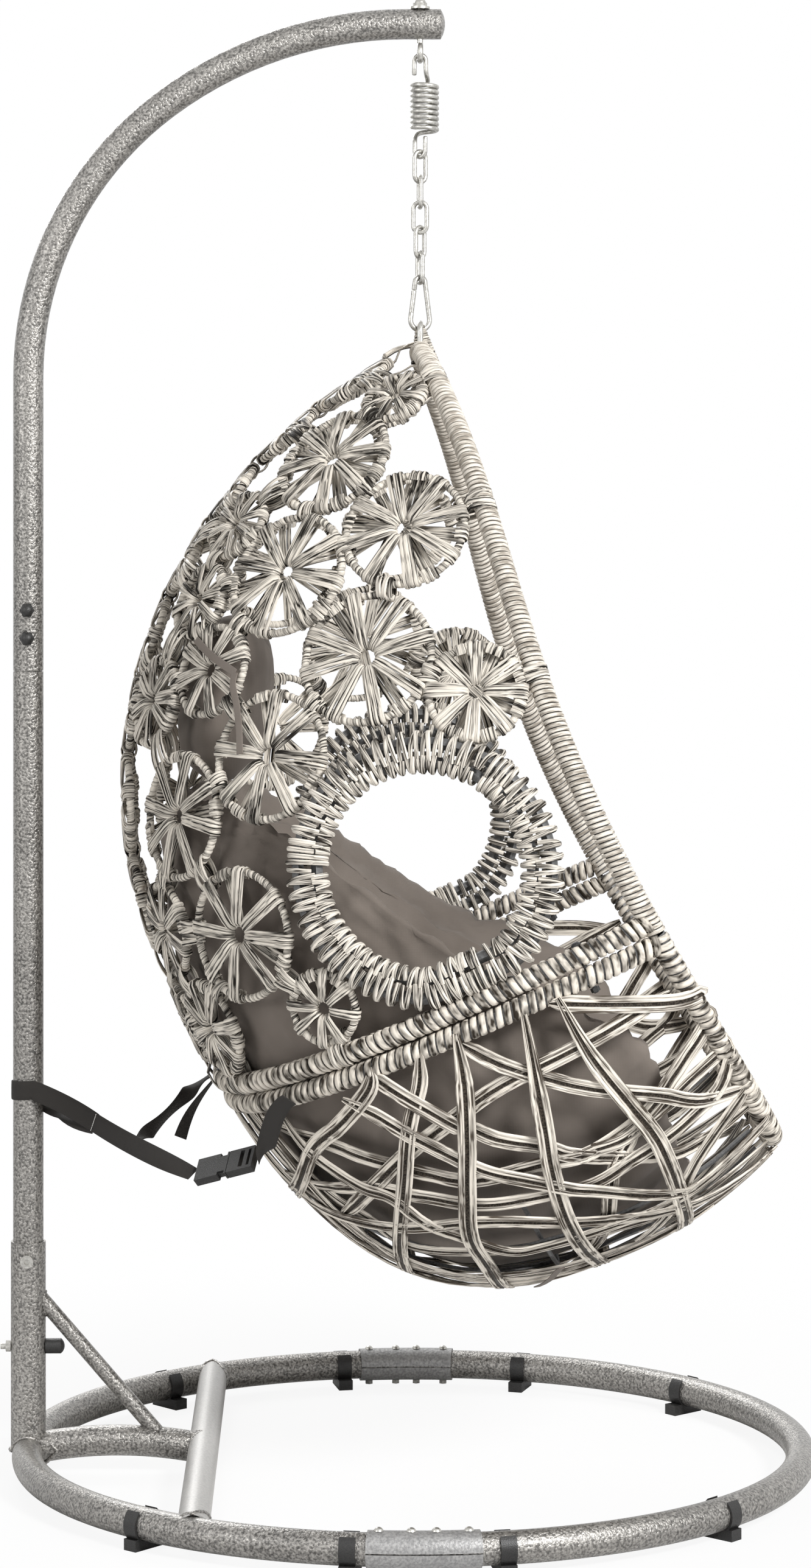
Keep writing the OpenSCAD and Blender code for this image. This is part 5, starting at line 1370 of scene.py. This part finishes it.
# Loop round the pole: two legs that are sewn together a hand's width away
SEWN_AT = 0.3
POLE_LOOP_Z = 0.508
pole_r = TUBE_R + 0.0016
seam_at = run_point(SEWN_AT)
wrap = [Vector((POST_X + pole_r * math.cos(a), pole_r * math.sin(a), POLE_LOOP_Z - 0.004 * i / 14))
        for i, a in enumerate([math.radians(-70 - 220 * i / 14) for i in range(15)])]
near_leg = [bezier(seam_at, seam_at + Vector((-0.024, 0.016, 0.014)),
                   wrap[0] + Vector((0.030, -0.010, -0.010)), wrap[0], k / 12) for k in range(12)]
far_leg = [bezier(wrap[-1], wrap[-1] + Vector((0.020, -0.004, -0.030)),
                  seam_at + Vector((-0.034, 0.022, -0.002)), seam_at + Vector((0, 0.002, -0.003)), k / 14)
           for k in range(1, 15)]
loop_ways = ([width_way(SEWN_AT)] * 12 + [Vector((0, 0, 1))] * 15
             + [leaning(80 * (1 - abs(i / 7 - 1)) ** 0.6) for i in range(14)])
pole_loop = new_bundle()
lay_webbing(pole_loop, near_leg + wrap + far_leg, loop_ways)
bundle_piece("strap_pole_loop", pole_loop, webbing, "stand", "webbing", "strap_loop")

# The run to the buckle and the second strap cross every joint between the pole and the basket, so they are
# cut at planes across the stand's length; the last part is carried by the basket, the others by no body
CUTS = [-0.412, -0.362, -0.354, -0.330, -0.314, -0.298]
parts = [new_bundle() for _ in range(6)]


def lay_cut_webbing(points, ways, width=WEBBING_W):
    """Lays a strap into the parts between the cutting planes."""
    def part_of(p):
        return sum(1 for cut in CUTS[1:] if p.x > cut)
    first = 0
    for i in range(1, len(points)):
        if i == len(points) - 1 or part_of(points[i]) != part_of(points[first]):
            if i > first:
                lay_webbing(parts[part_of(points[first])], points[first:i + 1], ways[first:i + 1], width)
            first = i


run = [run_point(SEWN_AT + (1 - SEWN_AT) * k / 90) for k in range(91)]
lay_cut_webbing(run, [width_way(SEWN_AT + (1 - SEWN_AT) * k / 90) for k in range(91)])
second_from = Vector((-0.370205, -0.10418, 0.455862))
second_way = Vector((0.575576, -0.799125, -0.173529))
second = [bezier(second_from, second_from + 0.050 * second_way, REAR_ANCHOR - Vector((0.050, 0, 0.030)),
                 REAR_ANCHOR, k / 70) for k in range(71)]
lay_cut_webbing(second, [leaning(25 + 60 * math.sin(2.6 * math.pi * k / 70)) for k in range(71)], SECOND_W)
tail = [REAR_ANCHOR + Vector((0.002, -0.004, -0.008))
        + Vector((-0.040 * q - 0.006 * math.sin(3 * q), -0.022 * q, -0.070 * q))
        for q in [k / 12 for k in range(13)]]
tail_ways = [Vector((0.25 + 0.5 * k / 12, 0.95 - 0.6 * k / 12, 0)).normalized() for k in range(13)]
lay_webbing(parts[5], tail, tail_ways, TAIL_W)
hem = [bezier(buckle_to + STRAP_GAP * BUCKLE_WAY, buckle_to + BUCKLE_WAY * 0.020,
              STRAP_END - BUCKLE_WAY * 0.030 - Vector((0, 0, 0.006)), STRAP_END, k / 16) for k in range(17)]
lay_webbing(parts[5], hem, [width_way(1).lerp(Vector((0.93, 0.25, -0.28)), min(1, k / 5)) for k in range(17)])
for i, part in enumerate(parts):
    piece = bundle_piece(f"strap_part_{i + 1}", part, webbing, "basket" if i == 5 else None, "webbing",
                         "strap_webbing", "strap_second")
    if i < 5:
        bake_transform(piece)

# White thread across the sewn place
THREAD_W = 0.0011
THREAD_T = 0.0009
stitches = new_bundle()
seam_way = (run_point(SEWN_AT + 0.02) - seam_at).normalized()
seam_width = (width_way(SEWN_AT) - seam_way * width_way(SEWN_AT).dot(seam_way)).normalized()
seam_face = seam_way.cross(seam_width)
if seam_face.y > 0:
    seam_face = -seam_face
for k in range(8):
    middle = seam_at + seam_width * (k - 3.5) * 0.0030 + seam_face * 0.0015
    stitch = [middle + seam_width * q * 0.0012 + seam_face * 0.0004 * (1 - q * q) for q in (-1, -0.4, 0.4, 1)]
    lay_strand(stitches, [unplaced(p) for p in stitch], [basket_turn.inverted() @ seam_face] * 4,
               width=THREAD_W, thick=THREAD_T)
bundle_piece("strap_stitches", stitches, thread, "stand", "webbing")
